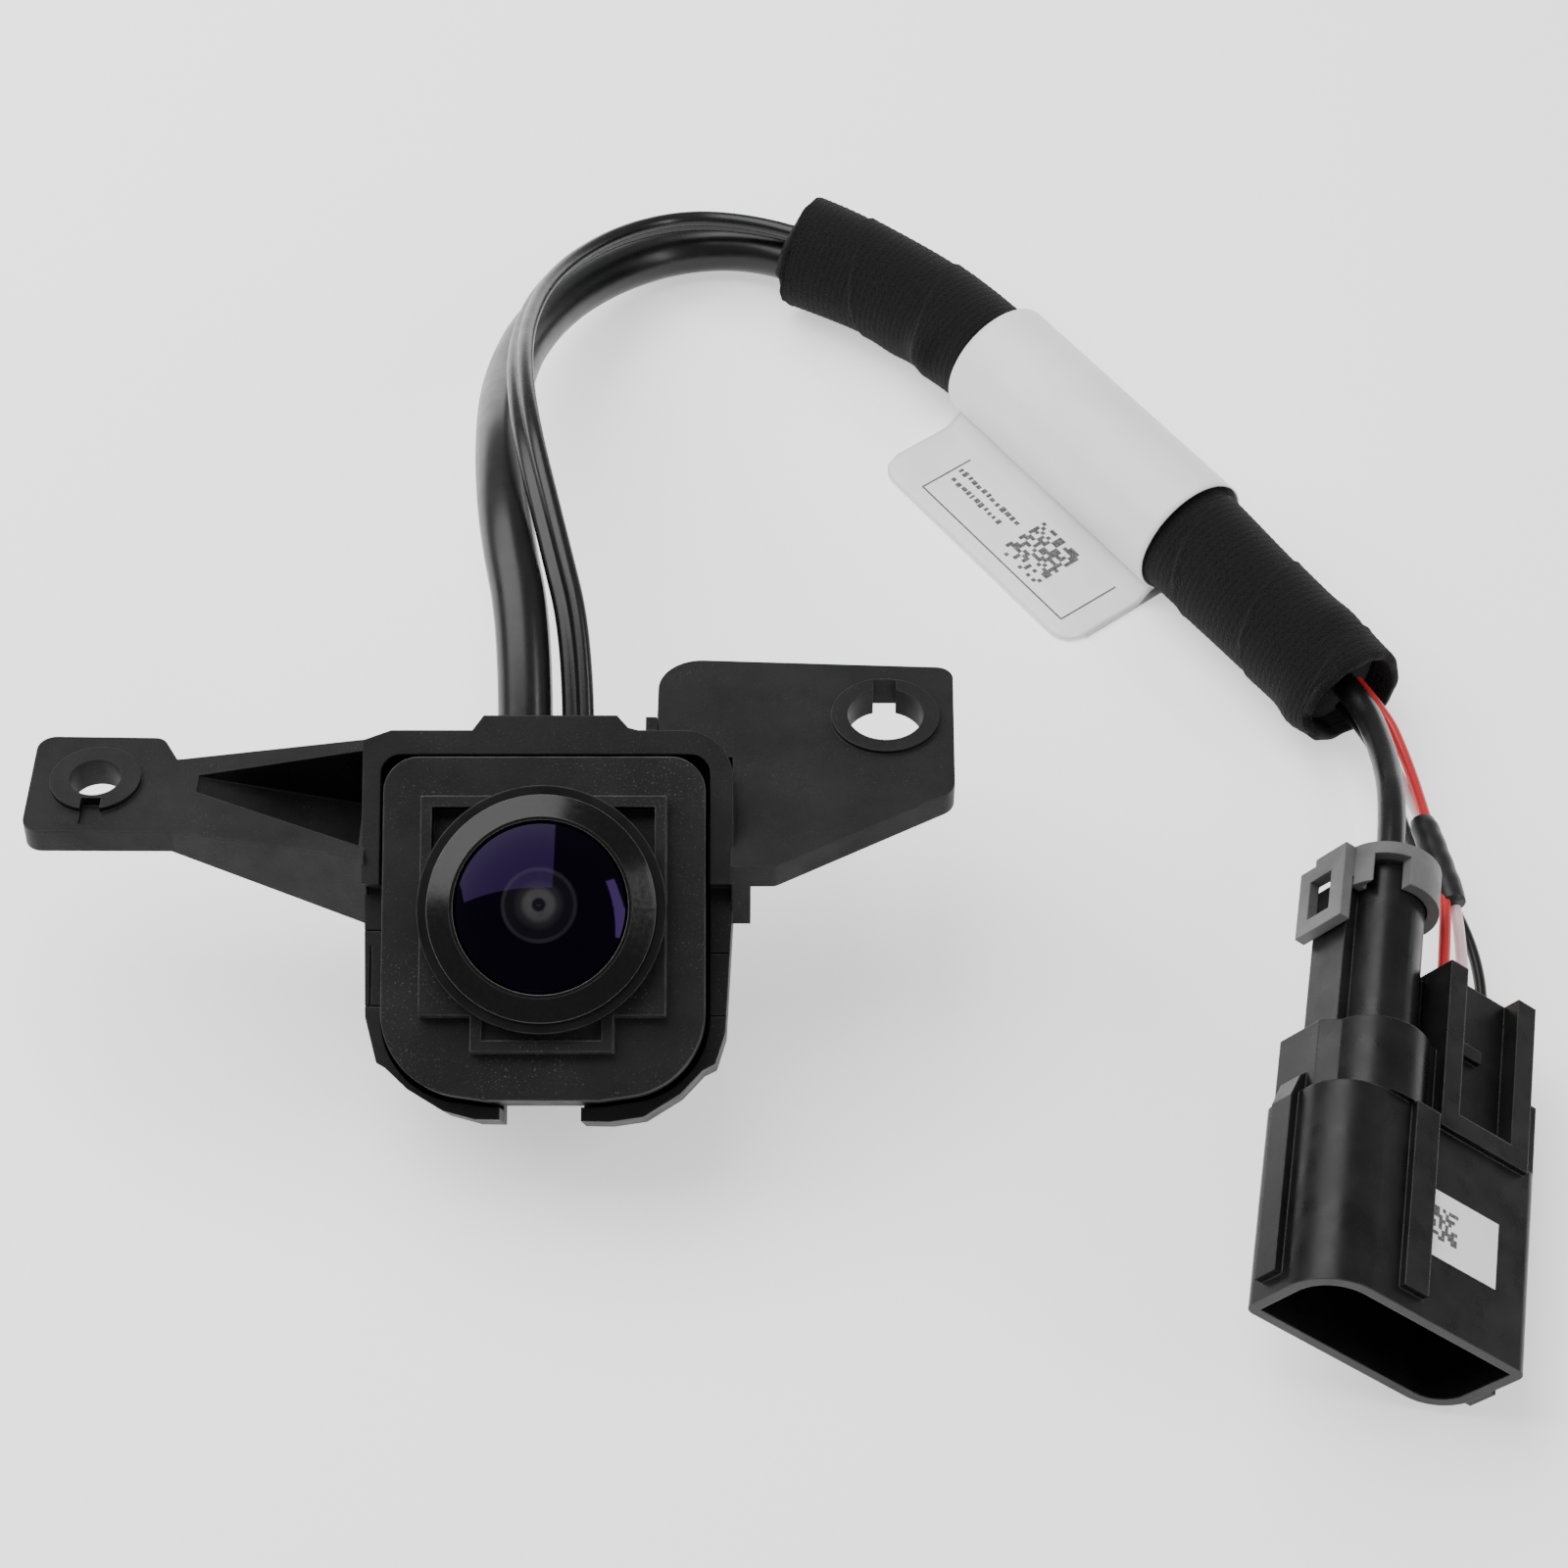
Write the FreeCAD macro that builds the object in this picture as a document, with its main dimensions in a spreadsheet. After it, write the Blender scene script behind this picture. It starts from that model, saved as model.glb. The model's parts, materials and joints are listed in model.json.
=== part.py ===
import FreeCAD, Part
import math
import os
import re
import Sketcher

# Rear-view camera kit: a camera unit in a moulded bracket with two mounting tabs, and a short
# harness that ends in a sealed plug. Millimetres, +Z up, the kit laid on a flat surface. The
# origin is the middle of the camera unit's footprint. The unit and the plug are each drawn in a
# frame of their own and then placed:
#   camera frame: X to the right, Y up the cover, Z out along the lens axis
#   tab frame:    the camera frame leaned back about X, the two mounting tabs lie in its XY plane
#   plug frame:   X out of its rail face, Y across the plug, Z out of its cable end

Vector = FreeCAD.Vector
doc = FreeCAD.newDocument("backup_camera_kit")
sheet = doc.addObject("Spreadsheet::Sheet", "dims")

DIMENSIONS = [
    # camera unit placement
    ("unit_lean", 30.0, "lean of the lens axis back from straight up, degrees"),
    ("unit_x", 4.5, "lens axis, right of the origin"),
    ("unit_y", -7.35, "cover centre, behind the origin"),
    ("unit_z", 22.3, "cover centre, above the floor"),
    ("tab_lean", 39.0, "lean of the tabs from the cover face, degrees"),
    ("tab_y", 4.0, "where the tab plane meets the cover face"),
    # front cover
    ("cover_half", 12.85, "half width of the cover"),
    ("cover_top", 12.5, "top edge above the lens axis"),
    ("cover_low", 13.7, "lower corners below the lens axis"),
    ("cover_bow", 1.2, "how far the lower edge bows out"),
    ("cover_deep", 8.0, "depth of the cover's skirt"),
    ("cover_wall", 1.6, "wall of the cover"),
    ("cover_round", 2.8, "upper corner radius"),
    ("cover_sweep", 6.8, "lower corner radius"),
    ("rim_half", 9.75, "half width of the raised square rim"),
    ("rim_top", 9.2, "top of the raised rim"),
    ("rim_low", 8.3, "bottom of the raised rim"),
    ("rim_wall", 0.9, "wall of the raised rim"),
    ("rim_high", 1.2, "height of the raised rim"),
    ("rim_sink", 0.6, "sink of the floor inside the rim"),
    ("lip_half", 5.65, "half width of the lower lip"),
    ("lip_low", 11.15, "bottom of the lower lip"),
    ("lip_sink", 0.4, "sink of the floor inside the lower lip"),
    # rear cover
    ("back_half", 12.4, "half width of the rear cover"),
    ("back_top", 12.1, "top of the rear cover"),
    ("back_low", 13.4, "bottom of the rear cover"),
    ("back_deep", 18.0, "back face behind the cover face"),
    ("back_wall", 1.6, "wall of the rear cover"),
    ("seal_thick", 0.6, "thickness of the cover seal"),
    # optics
    ("barrel_r", 7.95, "barrel radius"),
    ("barrel_end", 8.2, "rear end of the barrel"),
    ("collar_r", 9.85, "barrel collar radius"),
    ("collar_z", 1.4, "underside of the collar"),
    ("collar_high", 1.2, "height of the collar"),
    ("bezel_r", 9.05, "outer radius of the bezel ring"),
    ("bezel_high", 1.3, "height of the bezel ring"),
    ("glass_r", 6.85, "radius of the front lens"),
    ("glass_ball", 12.0, "radius of the dome of the front lens"),
    ("cell_r", 3.0, "radius of the bore for the small lenses"),
    # boards
    ("board_half", 9.4, "half side of a circuit board"),
    ("board_thick", 0.9, "thickness of a circuit board"),
    ("screw_at", 8.0, "board screws from the axis, both ways"),
    # bracket
    ("frame_left", 14.65, "left outside of the bracket frame"),
    ("frame_right", 15.05, "right outside of the bracket frame"),
    ("frame_top", 14.8, "top outside of the bracket frame"),
    ("frame_gap", 0.35, "gap between frame and cover"),
    ("frame_step", -3.6, "front of the lower frame from the cover face"),
    ("tab_thick", 2.2, "thickness of the mounting tabs"),
    ("left_hole_r", 2.1, "radius of the left mounting hole"),
    ("left_hole_x", 36.9, "left mounting hole from the lens axis"),
    ("left_hole_y", 9.4, "left mounting hole up the tab"),
    ("right_hole_r", 3.15, "radius of the right mounting hole"),
    ("right_hole_x", 27.5, "right mounting hole from the lens axis"),
    ("right_hole_y", 17.2, "right mounting hole up the tab"),
    # cables
    ("cable_r", 2.3, "radius of the camera cable"),
    ("pair_r", 1.4, "half width of the twin power cord"),
    ("cable_x", 2.4, "camera cable left of the lens axis"),
    ("pair_x", 2.0, "power cord right of the lens axis"),
    ("exit_y", 14.5, "where both leave the gland"),
    ("exit_z", 12.0, "cable exits behind the cover face"),
    ("sleeve_r", 5.5, "outer radius of the taped sleeve"),
    ("sleeve_bore", 4.5, "bore of the taped sleeve"),
    ("label_r", 5.85, "outer radius of the label wrapped on it"),
    ("flag_long", 28.3, "length of the label's flag along the sleeve"),
    ("flag_wide", 14.3, "reach of the flag from the sleeve's middle"),
    ("flag_thick", 0.3, "thickness of the flag"),
    ("flag_lift", 0.05, "underside of the flag above the floor"),
    ("flag_round", 2.4, "outer corners of the flag"),
    ("lead_r", 1.2, "radius of the signal lead"),
    ("wire_r", 0.5, "radius of a single wire"),
    ("shrink_r", 1.25, "outer radius of the shrink tube"),
    ("shrink_bore", 1.04, "bore of the shrink tube"),
    # plug
    ("plug_x", 69.8, "middle of the plug's mouth"),
    ("plug_y", -39.04, "middle of the plug's mouth"),
    ("plug_z", 9.8, "middle of the plug's mouth above the floor"),
    ("plug_yaw", -9.4, "turn of the plug about Z, degrees"),
    ("plug_roll", 35.4, "roll of the plug about its own length, degrees"),
    ("plug_half", 10.25, "half width of the shroud"),
    ("plug_thin", 4.9, "half thickness of the shroud"),
    ("shroud_long", 18.2, "length of the shroud"),
    ("neck_end", 25.0, "end of the stepped neck"),
    ("mouth_deep", 15.5, "depth of the mouth"),
    ("shroud_wall", 0.95, "wall of the shroud"),
    ("inset", 0.6, "step from shroud to neck"),
    ("stem_x", -4.2, "axis of the round stem across the plug"),
    ("stem_z", 1.0, "axis of the round stem above the middle"),
    ("stem_r", 3.15, "radius of the round stem"),
    ("stem_bore", 2.35, "bore of the round stem"),
    ("stem_end", 41.0, "end of the round stem"),
    ("block_left", -0.7, "left side of the wire block"),
    ("block_right", 8.6, "right side of the wire block"),
    ("block_end", 33.4, "cable end of the wire block"),
    ("rail_top", 5.5, "top of the rail walls"),
    ("rail_floor", 3.8, "floor of the rail channel"),
    ("cap_r", 4.3, "outer radius of the seal retainer"),
    ("cap_end", 42.6, "cable end of the seal retainer"),
]


def fill_sheet():
    for row, (alias, number, note) in enumerate(DIMENSIONS, start=1):
        sheet.set(f"A{row}", alias)
        sheet.set(f"B{row}", str(number))
        sheet.set(f"C{row}", note)
        sheet.setAlias(f"B{row}", alias)
    doc.recompute()


def val(text):
    """The number that an expression of sheet words comes to."""
    return float(sheet.evalExpression(cells(text)))


def cells(text):
    """The same expression with each word pointed at its cell."""
    return re.sub(r"[a-z][a-z_]*", lambda word: "dims." + word[0], text)


def bind(item, prop, size):
    item.setExpression(prop, cells(size))


# ---------------------------------------------------------------- Part primitives

def box(name, x, y, z):
    """A block from three (low, high) pairs of sheet expressions."""
    item = doc.addObject("Part::Box", name)
    for side, axis, (low, high) in (("Length", "x", x), ("Width", "y", y), ("Height", "z", z)):
        bind(item, side, f"({high}) - ({low})")
        bind(item, f"Placement.Base.{axis}", low)
    return item


def rod(name, radius, low, high, x="0", y="0"):
    """A cylinder along Z."""
    item = doc.addObject("Part::Cylinder", name)
    bind(item, "Radius", radius)
    bind(item, "Height", f"({high}) - ({low})")
    for axis, place in (("x", x), ("y", y), ("z", low)):
        bind(item, f"Placement.Base.{axis}", place)
    return item


def ball(name, radius, z):
    item = doc.addObject("Part::Sphere", name)
    bind(item, "Radius", radius)
    bind(item, "Placement.Base.z", z)
    return item


def joined(name, *pieces):
    item = doc.addObject("Part::MultiFuse", name)
    item.Shapes = list(pieces)
    return item


def shared(name, *pieces):
    item = doc.addObject("Part::MultiCommon", name)
    item.Shapes = list(pieces)
    return item


def cut(name, base, *tools):
    for number, tool in enumerate(tools):
        item = doc.addObject("Part::Cut", f"{name}_{number}")
        item.Base = base
        item.Tool = tool
        base = item
    return base


def prism(name, points, low, high):
    """A straight-sided block on a sketched outline, from sheet expressions."""
    outline = doc.addObject("Sketcher::SketchObject", name + "_outline")
    draw(outline, points)
    bind(outline, "Placement.Base.z", low)
    item = doc.addObject("Part::Extrusion", name)
    item.Base = outline
    item.DirMode = "Custom"
    item.Dir = Vector(0, 0, 1)
    item.Solid = True
    bind(item, "LengthFwd", f"({high}) - ({low})")
    return item


def rounded(name, base, *corners):
    """Rounds the upright edges at the given (x, y, radius) corners."""
    doc.recompute()
    item = doc.addObject("Part::Fillet", name)
    item.Base = base
    item.Edges = [
        (number, val(radius), val(radius))
        for x, y, radius in corners
        for number in upright_edges(base, val(x), val(y))
    ]
    return item


def upright_edges(item, x, y):
    """The numbers of the edges that stand along Z at (x, y)."""
    found = []
    for number, edge in enumerate(item.Shape.Edges, start=1):
        ends = [vertex.Point for vertex in edge.Vertexes]
        if all(math.hypot(end.x - x, end.y - y) < 0.01 for end in ends) and len(ends) == 2:
            found.append(number)
    assert found, f"no upright edge of {item.Name} at {x}, {y}"
    return found


# ---------------------------------------------------------------- sketches and bodies

def draw(sketch, points):
    """A closed outline of straight lines, every corner bound to the sheet."""
    places = [Vector(val(x), val(y), 0) for x, y in points]
    for number, place in enumerate(places):
        sketch.addGeometry(Part.LineSegment(place, places[(number + 1) % len(places)]), False)
    for number in range(len(points)):
        after = (number + 1) % len(points)
        sketch.addConstraint(Sketcher.Constraint("Coincident", number, 2, after, 1))
    for number, (x, y) in enumerate(points):
        for kind, text, size in (("DistanceX", x, places[number].x), ("DistanceY", y, places[number].y)):
            if abs(size) < 1e-9:
                axis = -2 if kind == "DistanceX" else -1
                sketch.addConstraint(Sketcher.Constraint("PointOnObject", number, 1, axis))
                continue
            index = sketch.addConstraint(Sketcher.Constraint(kind, -1, 1, number, 1, size))
            sketch.setExpression(f"Constraints[{index}]", cells(text))


def draw_circle(sketch, radius, x, y):
    centre = Vector(val(x), val(y), 0)
    sketch.addGeometry(Part.Circle(centre, Vector(0, 0, 1), val(radius)), False)
    index = sketch.addConstraint(Sketcher.Constraint("Radius", 0, val(radius)))
    sketch.setExpression(f"Constraints[{index}]", cells(radius))
    for kind, text, size in (("DistanceX", x, centre.x), ("DistanceY", y, centre.y)):
        if abs(size) < 1e-9:
            axis = -2 if kind == "DistanceX" else -1
            sketch.addConstraint(Sketcher.Constraint("PointOnObject", 0, 3, axis))
            continue
        index = sketch.addConstraint(Sketcher.Constraint(kind, -1, 1, 0, 3, size))
        sketch.setExpression(f"Constraints[{index}]", cells(text))


def new_body(name):
    return doc.addObject("PartDesign::Body", name)


def body_sketch(body, role, name, offset="0"):
    plane = next(item for item in body.Origin.OriginFeatures if item.Role == role)
    sketch = body.newObject("Sketcher::SketchObject", name)
    sketch.AttachmentSupport = [(plane, "")]
    sketch.MapMode = "FlatFace"
    bind(sketch, "AttachmentOffset.Base.z", offset)
    return sketch


def pad(body, name, points, low, high):
    sketch = body_sketch(body, "XY_Plane", name + "_outline", low)
    draw(sketch, points)
    return lengthened(body, "PartDesign::Pad", name, sketch, f"({high}) - ({low})")


def pocket(body, name, points, high, low):
    """Cuts the outline from height high down to height low."""
    sketch = body_sketch(body, "XY_Plane", name + "_outline", high)
    draw(sketch, points)
    return lengthened(body, "PartDesign::Pocket", name, sketch, f"({high}) - ({low})")


def drill(body, name, radius, x, y, high, low):
    sketch = body_sketch(body, "XY_Plane", name + "_outline", high)
    draw_circle(sketch, radius, x, y)
    return lengthened(body, "PartDesign::Pocket", name, sketch, f"({high}) - ({low})")


def lengthened(body, kind, name, sketch, length):
    before = body.Shape.Volume if body.Tip else 0.0
    feature = body.newObject(kind, name)
    feature.Profile = sketch
    bind(feature, "Length", length)
    doc.recompute()
    grown = body.Shape.Volume - before
    assert grown > 0 if kind == "PartDesign::Pad" else grown < 0, f"{name} changed nothing"
    return feature


def soften(body, name, *corners):
    """Fillets the body's upright edges at the given (x, y, radius) corners."""
    base = body.Tip
    for number, (x, y, radius) in enumerate(corners):
        feature = body.newObject("PartDesign::Fillet", f"{name}_{number}")
        edges = upright_edges(base, val(x), val(y))
        feature.Base = (base, [f"Edge{edge}" for edge in edges])
        bind(feature, "Radius", radius)
        doc.recompute()
        base = feature


def turned(name, points):
    """A ring or tube turned about Z from an (outwards, up) outline."""
    body = new_body(name)
    sketch = body_sketch(body, "XZ_Plane", name + "_profile")
    draw(sketch, points)
    feature = body.newObject("PartDesign::Revolution", name + "_turn")
    feature.Profile = sketch
    feature.ReferenceAxis = (sketch, ["V_Axis"])
    feature.Angle = 360
    return body


def rectangle(left, right, low, high):
    return [(left, low), (right, low), (right, high), (left, high)]


# ---------------------------------------------------------------- camera unit

def cover_outline(grow="0"):
    """The cover's outline: square at the top, bowed along its lower edge."""
    side, top = f"cover_half + {grow}", f"cover_top + {grow}"
    low, bow = f"-cover_low - {grow}", f"-cover_low - cover_bow - {grow}"
    return [(negative(side), top), (side, top), (side, low), ("4.5", bow), ("-4.5", bow),
            (negative(side), low)]


def negative(text):
    """The same sum of sheet words with every sign turned over."""
    swapped = text.replace(" ", "").replace("+", "~").replace("-", "+").replace("~", "-")
    return swapped if swapped[0] in "+-" else "-" + swapped


def front_cover():
    body = new_body("front_cover")
    pad(body, "cover_plate", cover_outline(), "-cover_deep", "0")
    soften(body, "cover_corner",
           ("-cover_half", "cover_top", "cover_round"), ("cover_half", "cover_top", "cover_round"),
           ("cover_half", "-cover_low", "cover_sweep"), ("-cover_half", "-cover_low", "cover_sweep"))
    inside = "cover_half - cover_wall"
    pocket(body, "cover_inside",
           rectangle(negative(inside), inside, "-cover_low + 2*cover_wall", "cover_top - cover_wall"),
           "-2", "-cover_deep")
    pad(body, "rim", rectangle("-rim_half", "rim_half", "-rim_low", "rim_top"), "0", "rim_high")
    pad(body, "lip", rectangle("-lip_half", "lip_half", "-lip_low", "-rim_low"), "0", "rim_high")
    room = "rim_half - rim_wall"
    pocket(body, "rim_floor",
           [(negative(room), "rim_top - rim_wall"), (negative(room), "-4.2"), ("-4.8", "-rim_low + rim_wall"),
            ("4.8", "-rim_low + rim_wall"), (room, "-4.2"), (room, "rim_top - rim_wall")],
           "rim_high", "-rim_sink")
    ledge = "lip_half - rim_wall"
    pocket(body, "lip_floor", rectangle(negative(ledge), ledge, "-lip_low + rim_wall", "-rim_low + 1.2"),
           "rim_high", "rim_high - lip_sink")
    drill(body, "barrel_bore", "barrel_r + 0.05", "0", "0", "rim_high", "-cover_deep")
    return body


def rear_cover():
    body = new_body("rear_cover")
    pad(body, "shell", rectangle("-back_half", "back_half", "-back_low", "back_top"),
        "-back_deep", "-cover_deep - seal_thick")
    soften(body, "shell_corner",
           ("-back_half", "back_top", "cover_round"), ("back_half", "back_top", "cover_round"),
           ("back_half", "-back_low", "cover_sweep"), ("-back_half", "-back_low", "cover_sweep"))
    inside = "back_half - back_wall"
    pocket(body, "shell_inside",
           rectangle(negative(inside), inside, "-back_low + 2*back_wall", "back_top - back_wall"),
           "-cover_deep - seal_thick", "-back_deep + back_wall")
    pocket(body, "gland_slot", rectangle("-5.5", "4.5", "9", "back_top + 1"), "-9.6", "-14.6")
    for number, (across, up) in enumerate(SCREW_CORNERS):
        drill(body, f"screw_bore_{number}", "0.95", f"{across}screw_at", f"{up}screw_at",
              "-back_deep + back_wall", "-back_deep + 0.5")
    return body


SCREW_CORNERS = [("", ""), ("-", ""), ("-", "-"), ("", "-")]


def cover_seal():
    outer = prism("seal_outer", rectangle("-back_half", "back_half", "-back_low", "back_top"),
                  "-cover_deep - seal_thick", "-cover_deep")
    inner = prism("seal_inner",
                  rectangle("-back_half + 1.2", "back_half - 1.2", "-back_low + 3", "back_top - 1.2"),
                  "-cover_deep - seal_thick - 1", "-cover_deep + 1")
    soft = rounded("seal_rounded", outer,
                   ("-back_half", "back_top", "cover_round"), ("back_half", "back_top", "cover_round"),
                   ("back_half", "-back_low", "cover_sweep"), ("-back_half", "-back_low", "cover_sweep"))
    return cut("cover_seal", soft, inner)


def cable_gland():
    """A rubber plug in the slot of the rear cover, with a tapered boot for each cable."""
    block = box("gland_block", ("-5.4", "4.4"), ("9.6", "12.9"), ("-14.5", "-9.7"))
    boots = []
    for name, place, root, tip in (("cable", "-cable_x", "2.4", "cable_r + 0.1"),
                                   ("pair", "pair_x", "2.2", "pair_r + 0.1")):
        boot = doc.addObject("Part::Cone", f"gland_boot_{name}")
        bind(boot, "Radius1", root)
        bind(boot, "Radius2", tip)
        bind(boot, "Height", "exit_y - 12")
        boot.Placement.Rotation = FreeCAD.Rotation(Vector(1, 0, 0), -90)
        for axis, spot in (("x", place), ("y", "12"), ("z", "-exit_z")):
            bind(boot, f"Placement.Base.{axis}", spot)
        boots.append(boot)
    return joined("cable_gland", block, *boots)


def lens_barrel():
    return turned("lens_barrel", [
        ("barrel_r", "-barrel_end"), ("barrel_r", "collar_z"), ("collar_r", "collar_z"),
        ("collar_r", "collar_z + collar_high"), ("7", "collar_z + collar_high"), ("7", "-1.4"),
        ("cell_r", "-1.4"), ("cell_r", "-6.4"), ("2.3", "-6.4"), ("2.3", "-barrel_end")])


def bezel_ring():
    base = "collar_z + collar_high"
    return turned("bezel_ring", [
        ("glass_r + 0.05", base), ("bezel_r", base), ("bezel_r", base + " + 0.4"),
        ("bezel_r - 0.3", base + " + 0.55"), ("glass_r + 0.35", base + " + bezel_high"),
        ("glass_r + 0.05", base + " + bezel_high")])


def front_lens():
    edge = rod("glass_edge", "glass_r", "0.6", "8")
    dome = ball("glass_dome", "glass_ball", "5.8 - glass_ball")
    back = ball("glass_back", "5.6", "-2.6")
    return cut("front_lens", shared("glass_blank", edge, dome), back)


def small_lens(name, low, high, ball_r):
    """A small lens: a cylinder under a dome whose top is at high."""
    edge = rod(name + "_edge", "cell_r - 0.05", low, high)
    dome = ball(name + "_dome", ball_r, f"{high} - {ball_r}")
    return shared(name, edge, dome)


def lens_spacer():
    return turned("lens_spacer", [("3.4", "-1.4"), ("6.95", "-1.4"), ("6.95", "0.6"), ("4.7", "0.6"),
                                  ("3.4", "-0.6")])


def aperture_stop():
    return turned("aperture_stop", [("1.2", "-3.8"), ("cell_r - 0.05", "-3.8"),
                                    ("cell_r - 0.05", "-3.5"), ("1.2", "-3.5")])


def lens_o_ring():
    item = doc.addObject("Part::Torus", "lens_o_ring")
    bind(item, "Radius1", "barrel_r + 0.45")
    item.Radius2 = 0.4
    bind(item, "Placement.Base.z", "-rim_sink + 0.42")
    return item


def board(name, top):
    """A square circuit board with four screw holes."""
    body = new_body(name)
    pad(body, name + "_plate", rectangle("-board_half", "board_half", "-board_half", "board_half"),
        f"{top} - board_thick", top)
    for number, (across, up) in enumerate(SCREW_CORNERS):
        drill(body, f"{name}_hole_{number}", "1", f"{across}screw_at", f"{up}screw_at",
              top, f"{top} - board_thick")
    return body


def board_screws():
    pieces = []
    for number, (across, up) in enumerate(SCREW_CORNERS):
        x, y = f"{across}screw_at", f"{up}screw_at"
        shank = rod(f"screw_shank_{number}", "0.9", "-17.4", "-9.9", x, y)
        head = rod(f"screw_head_{number}", "1.4", "-10", "-9.1", x, y)
        socket = rod(f"screw_socket_{number}", "0.6", "-9.5", "-9", x, y)
        pieces.append(cut(f"screw_{number}", joined(f"screw_blank_{number}", shank, head), socket))
    return grouped("board_screws", pieces)


def board_spacers():
    pieces = []
    for number, (across, up) in enumerate(SCREW_CORNERS):
        x, y = f"{across}screw_at", f"{up}screw_at"
        sleeve = rod(f"spacer_sleeve_{number}", "1.4", "-13.7", "-10.9", x, y)
        pieces.append(cut(f"spacer_{number}", sleeve, rod(f"spacer_bore_{number}", "1", "-14", "-10", x, y)))
    return grouped("board_spacers", pieces)


def grouped(name, pieces):
    item = doc.addObject("Part::Compound", name)
    item.Links = pieces
    return item


def shield_can():
    outer = box("can_outer", ("-6.4", "6.4"), ("-6.4", "6.4"), ("-16.1", "-14.6"))
    inner = box("can_inner", ("-6.1", "6.1"), ("-6.1", "6.1"), ("-15.8", "-14"))
    return cut("shield_can", outer, inner)


# ---------------------------------------------------------------- bracket

def bracket_frame():
    """The moulded frame round the covers: a high upper part and a lower one set back."""
    upper = prism("frame_upper",
                  [("-frame_left", "2.4"), ("frame_right", "2.4"), ("frame_right", "frame_top"),
                   ("7.4", "frame_top"), ("6.6", "frame_top + 0.2"), ("5.7", "frame_top + 1.2"),
                   ("-5", "frame_top + 1.2"), ("-5.9", "frame_top"), ("-12.4", "frame_top"),
                   ("-frame_left", "frame_top - 0.8")],
                  "-cover_deep - 1.4", "-1")
    upper = rounded("frame_upper_round", upper, ("frame_right", "frame_top", "4"))
    lug = prism("frame_lug", rectangle("8", "8.9", "frame_top - 0.5", "frame_top + 1.1"), "-6", "-1.2")
    lower = prism("frame_lower",
                  [("-frame_left", "2.4"), ("-frame_left + 0.2", "-8"), ("-13.5", "-11.7"),
                   ("-12.8", "-12.1"), ("-11", "-13.8"), ("-8.2", "-15.5"), ("-5.6", "-16.2"),
                   ("5.2", "-16.4"), ("7.9", "-16"), ("10.8", "-14.2"), ("12.6", "-12.3"),
                   ("13.6", "-11.8"), ("14.4", "-9.3"), ("frame_right", "2.4")],
                  "-12", "frame_step")
    hole = prism("frame_hole", cover_outline("frame_gap"), "-cover_deep - 0.3", "1")
    hole = rounded("frame_hole_round", hole,
                   ("-cover_half - frame_gap", "cover_top + frame_gap", "1.6"),
                   ("cover_half + frame_gap", "cover_top + frame_gap", "1.6"),
                   ("cover_half + frame_gap", "-cover_low - frame_gap", "cover_sweep"),
                   ("-cover_half - frame_gap", "-cover_low - frame_gap", "cover_sweep"))
    side, low, top = "back_half + frame_gap", "-back_low - frame_gap", "back_top + frame_gap"
    rear_hole = prism("frame_rear_hole", rectangle(negative(side), side, low, top), "-13", "-cover_deep")
    rear_hole = rounded("frame_rear_hole_round", rear_hole,
                        (negative(side), top, "cover_round"), (side, top, "cover_round"),
                        (negative(side), low, "cover_sweep"), (side, low, "cover_sweep"))
    seams = [prism(f"frame_seam_{number}", outline, "frame_step - 0.35", "frame_step + 1")
             for number, outline in enumerate(SEAMS)]
    mouth = prism("frame_split", rectangle("-3.6", "2.9", "-18", "-14"), "-13", "1")
    notch = prism("frame_cable_room", rectangle("-7", "6", "12", "17"), "-13", "-8.4")
    return [upper, lug, lower], [hole, rear_hole, mouth, notch, *seams]


# Fine snap seams across and along the lower frame's two sides.
SEAMS = [
    rectangle("-16", "-13", "-1.12", "-1"), rectangle("-16", "-13", "-7.2", "-7.08"),
    rectangle("-14.12", "-14", "-7.1", "-2.3"),
    rectangle("13", "16", "-2.95", "-2.83"), rectangle("13", "16", "-8", "-7.88"),
]


def lean_back(item):
    """Lays a tab piece, drawn flat, into the plane of the mounting tabs."""
    place = FreeCAD.Placement(Vector(0, val("tab_y"), 0), FreeCAD.Rotation(Vector(1, 0, 0), -val("tab_lean")))
    held = doc.addObject("Part::Compound", item.Name + "_leaned")
    held.Links = [item]
    held.Placement = place
    bind(held, "Placement.Base.y", "tab_y")
    return held


def wedge(name, near, far):
    """A block along X whose section changes from near to far, each (x, y0, y1, z0, z1)."""
    item = doc.addObject("Part::Wedge", name)
    item.Ymin, item.Xmin, item.Xmax, item.Zmin, item.Zmax = 0, near[1], near[2], near[3], near[4]
    item.Ymax, item.X2min, item.X2max, item.Z2min, item.Z2max = far[0] - near[0], far[1], far[2], far[3], far[4]
    turn = FreeCAD.Matrix(0, 1, 0, near[0], 1, 0, 0, 0, 0, 0, -1, 0, 0, 0, 0, 1)
    item.Placement = FreeCAD.Placement(turn)
    return item


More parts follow.
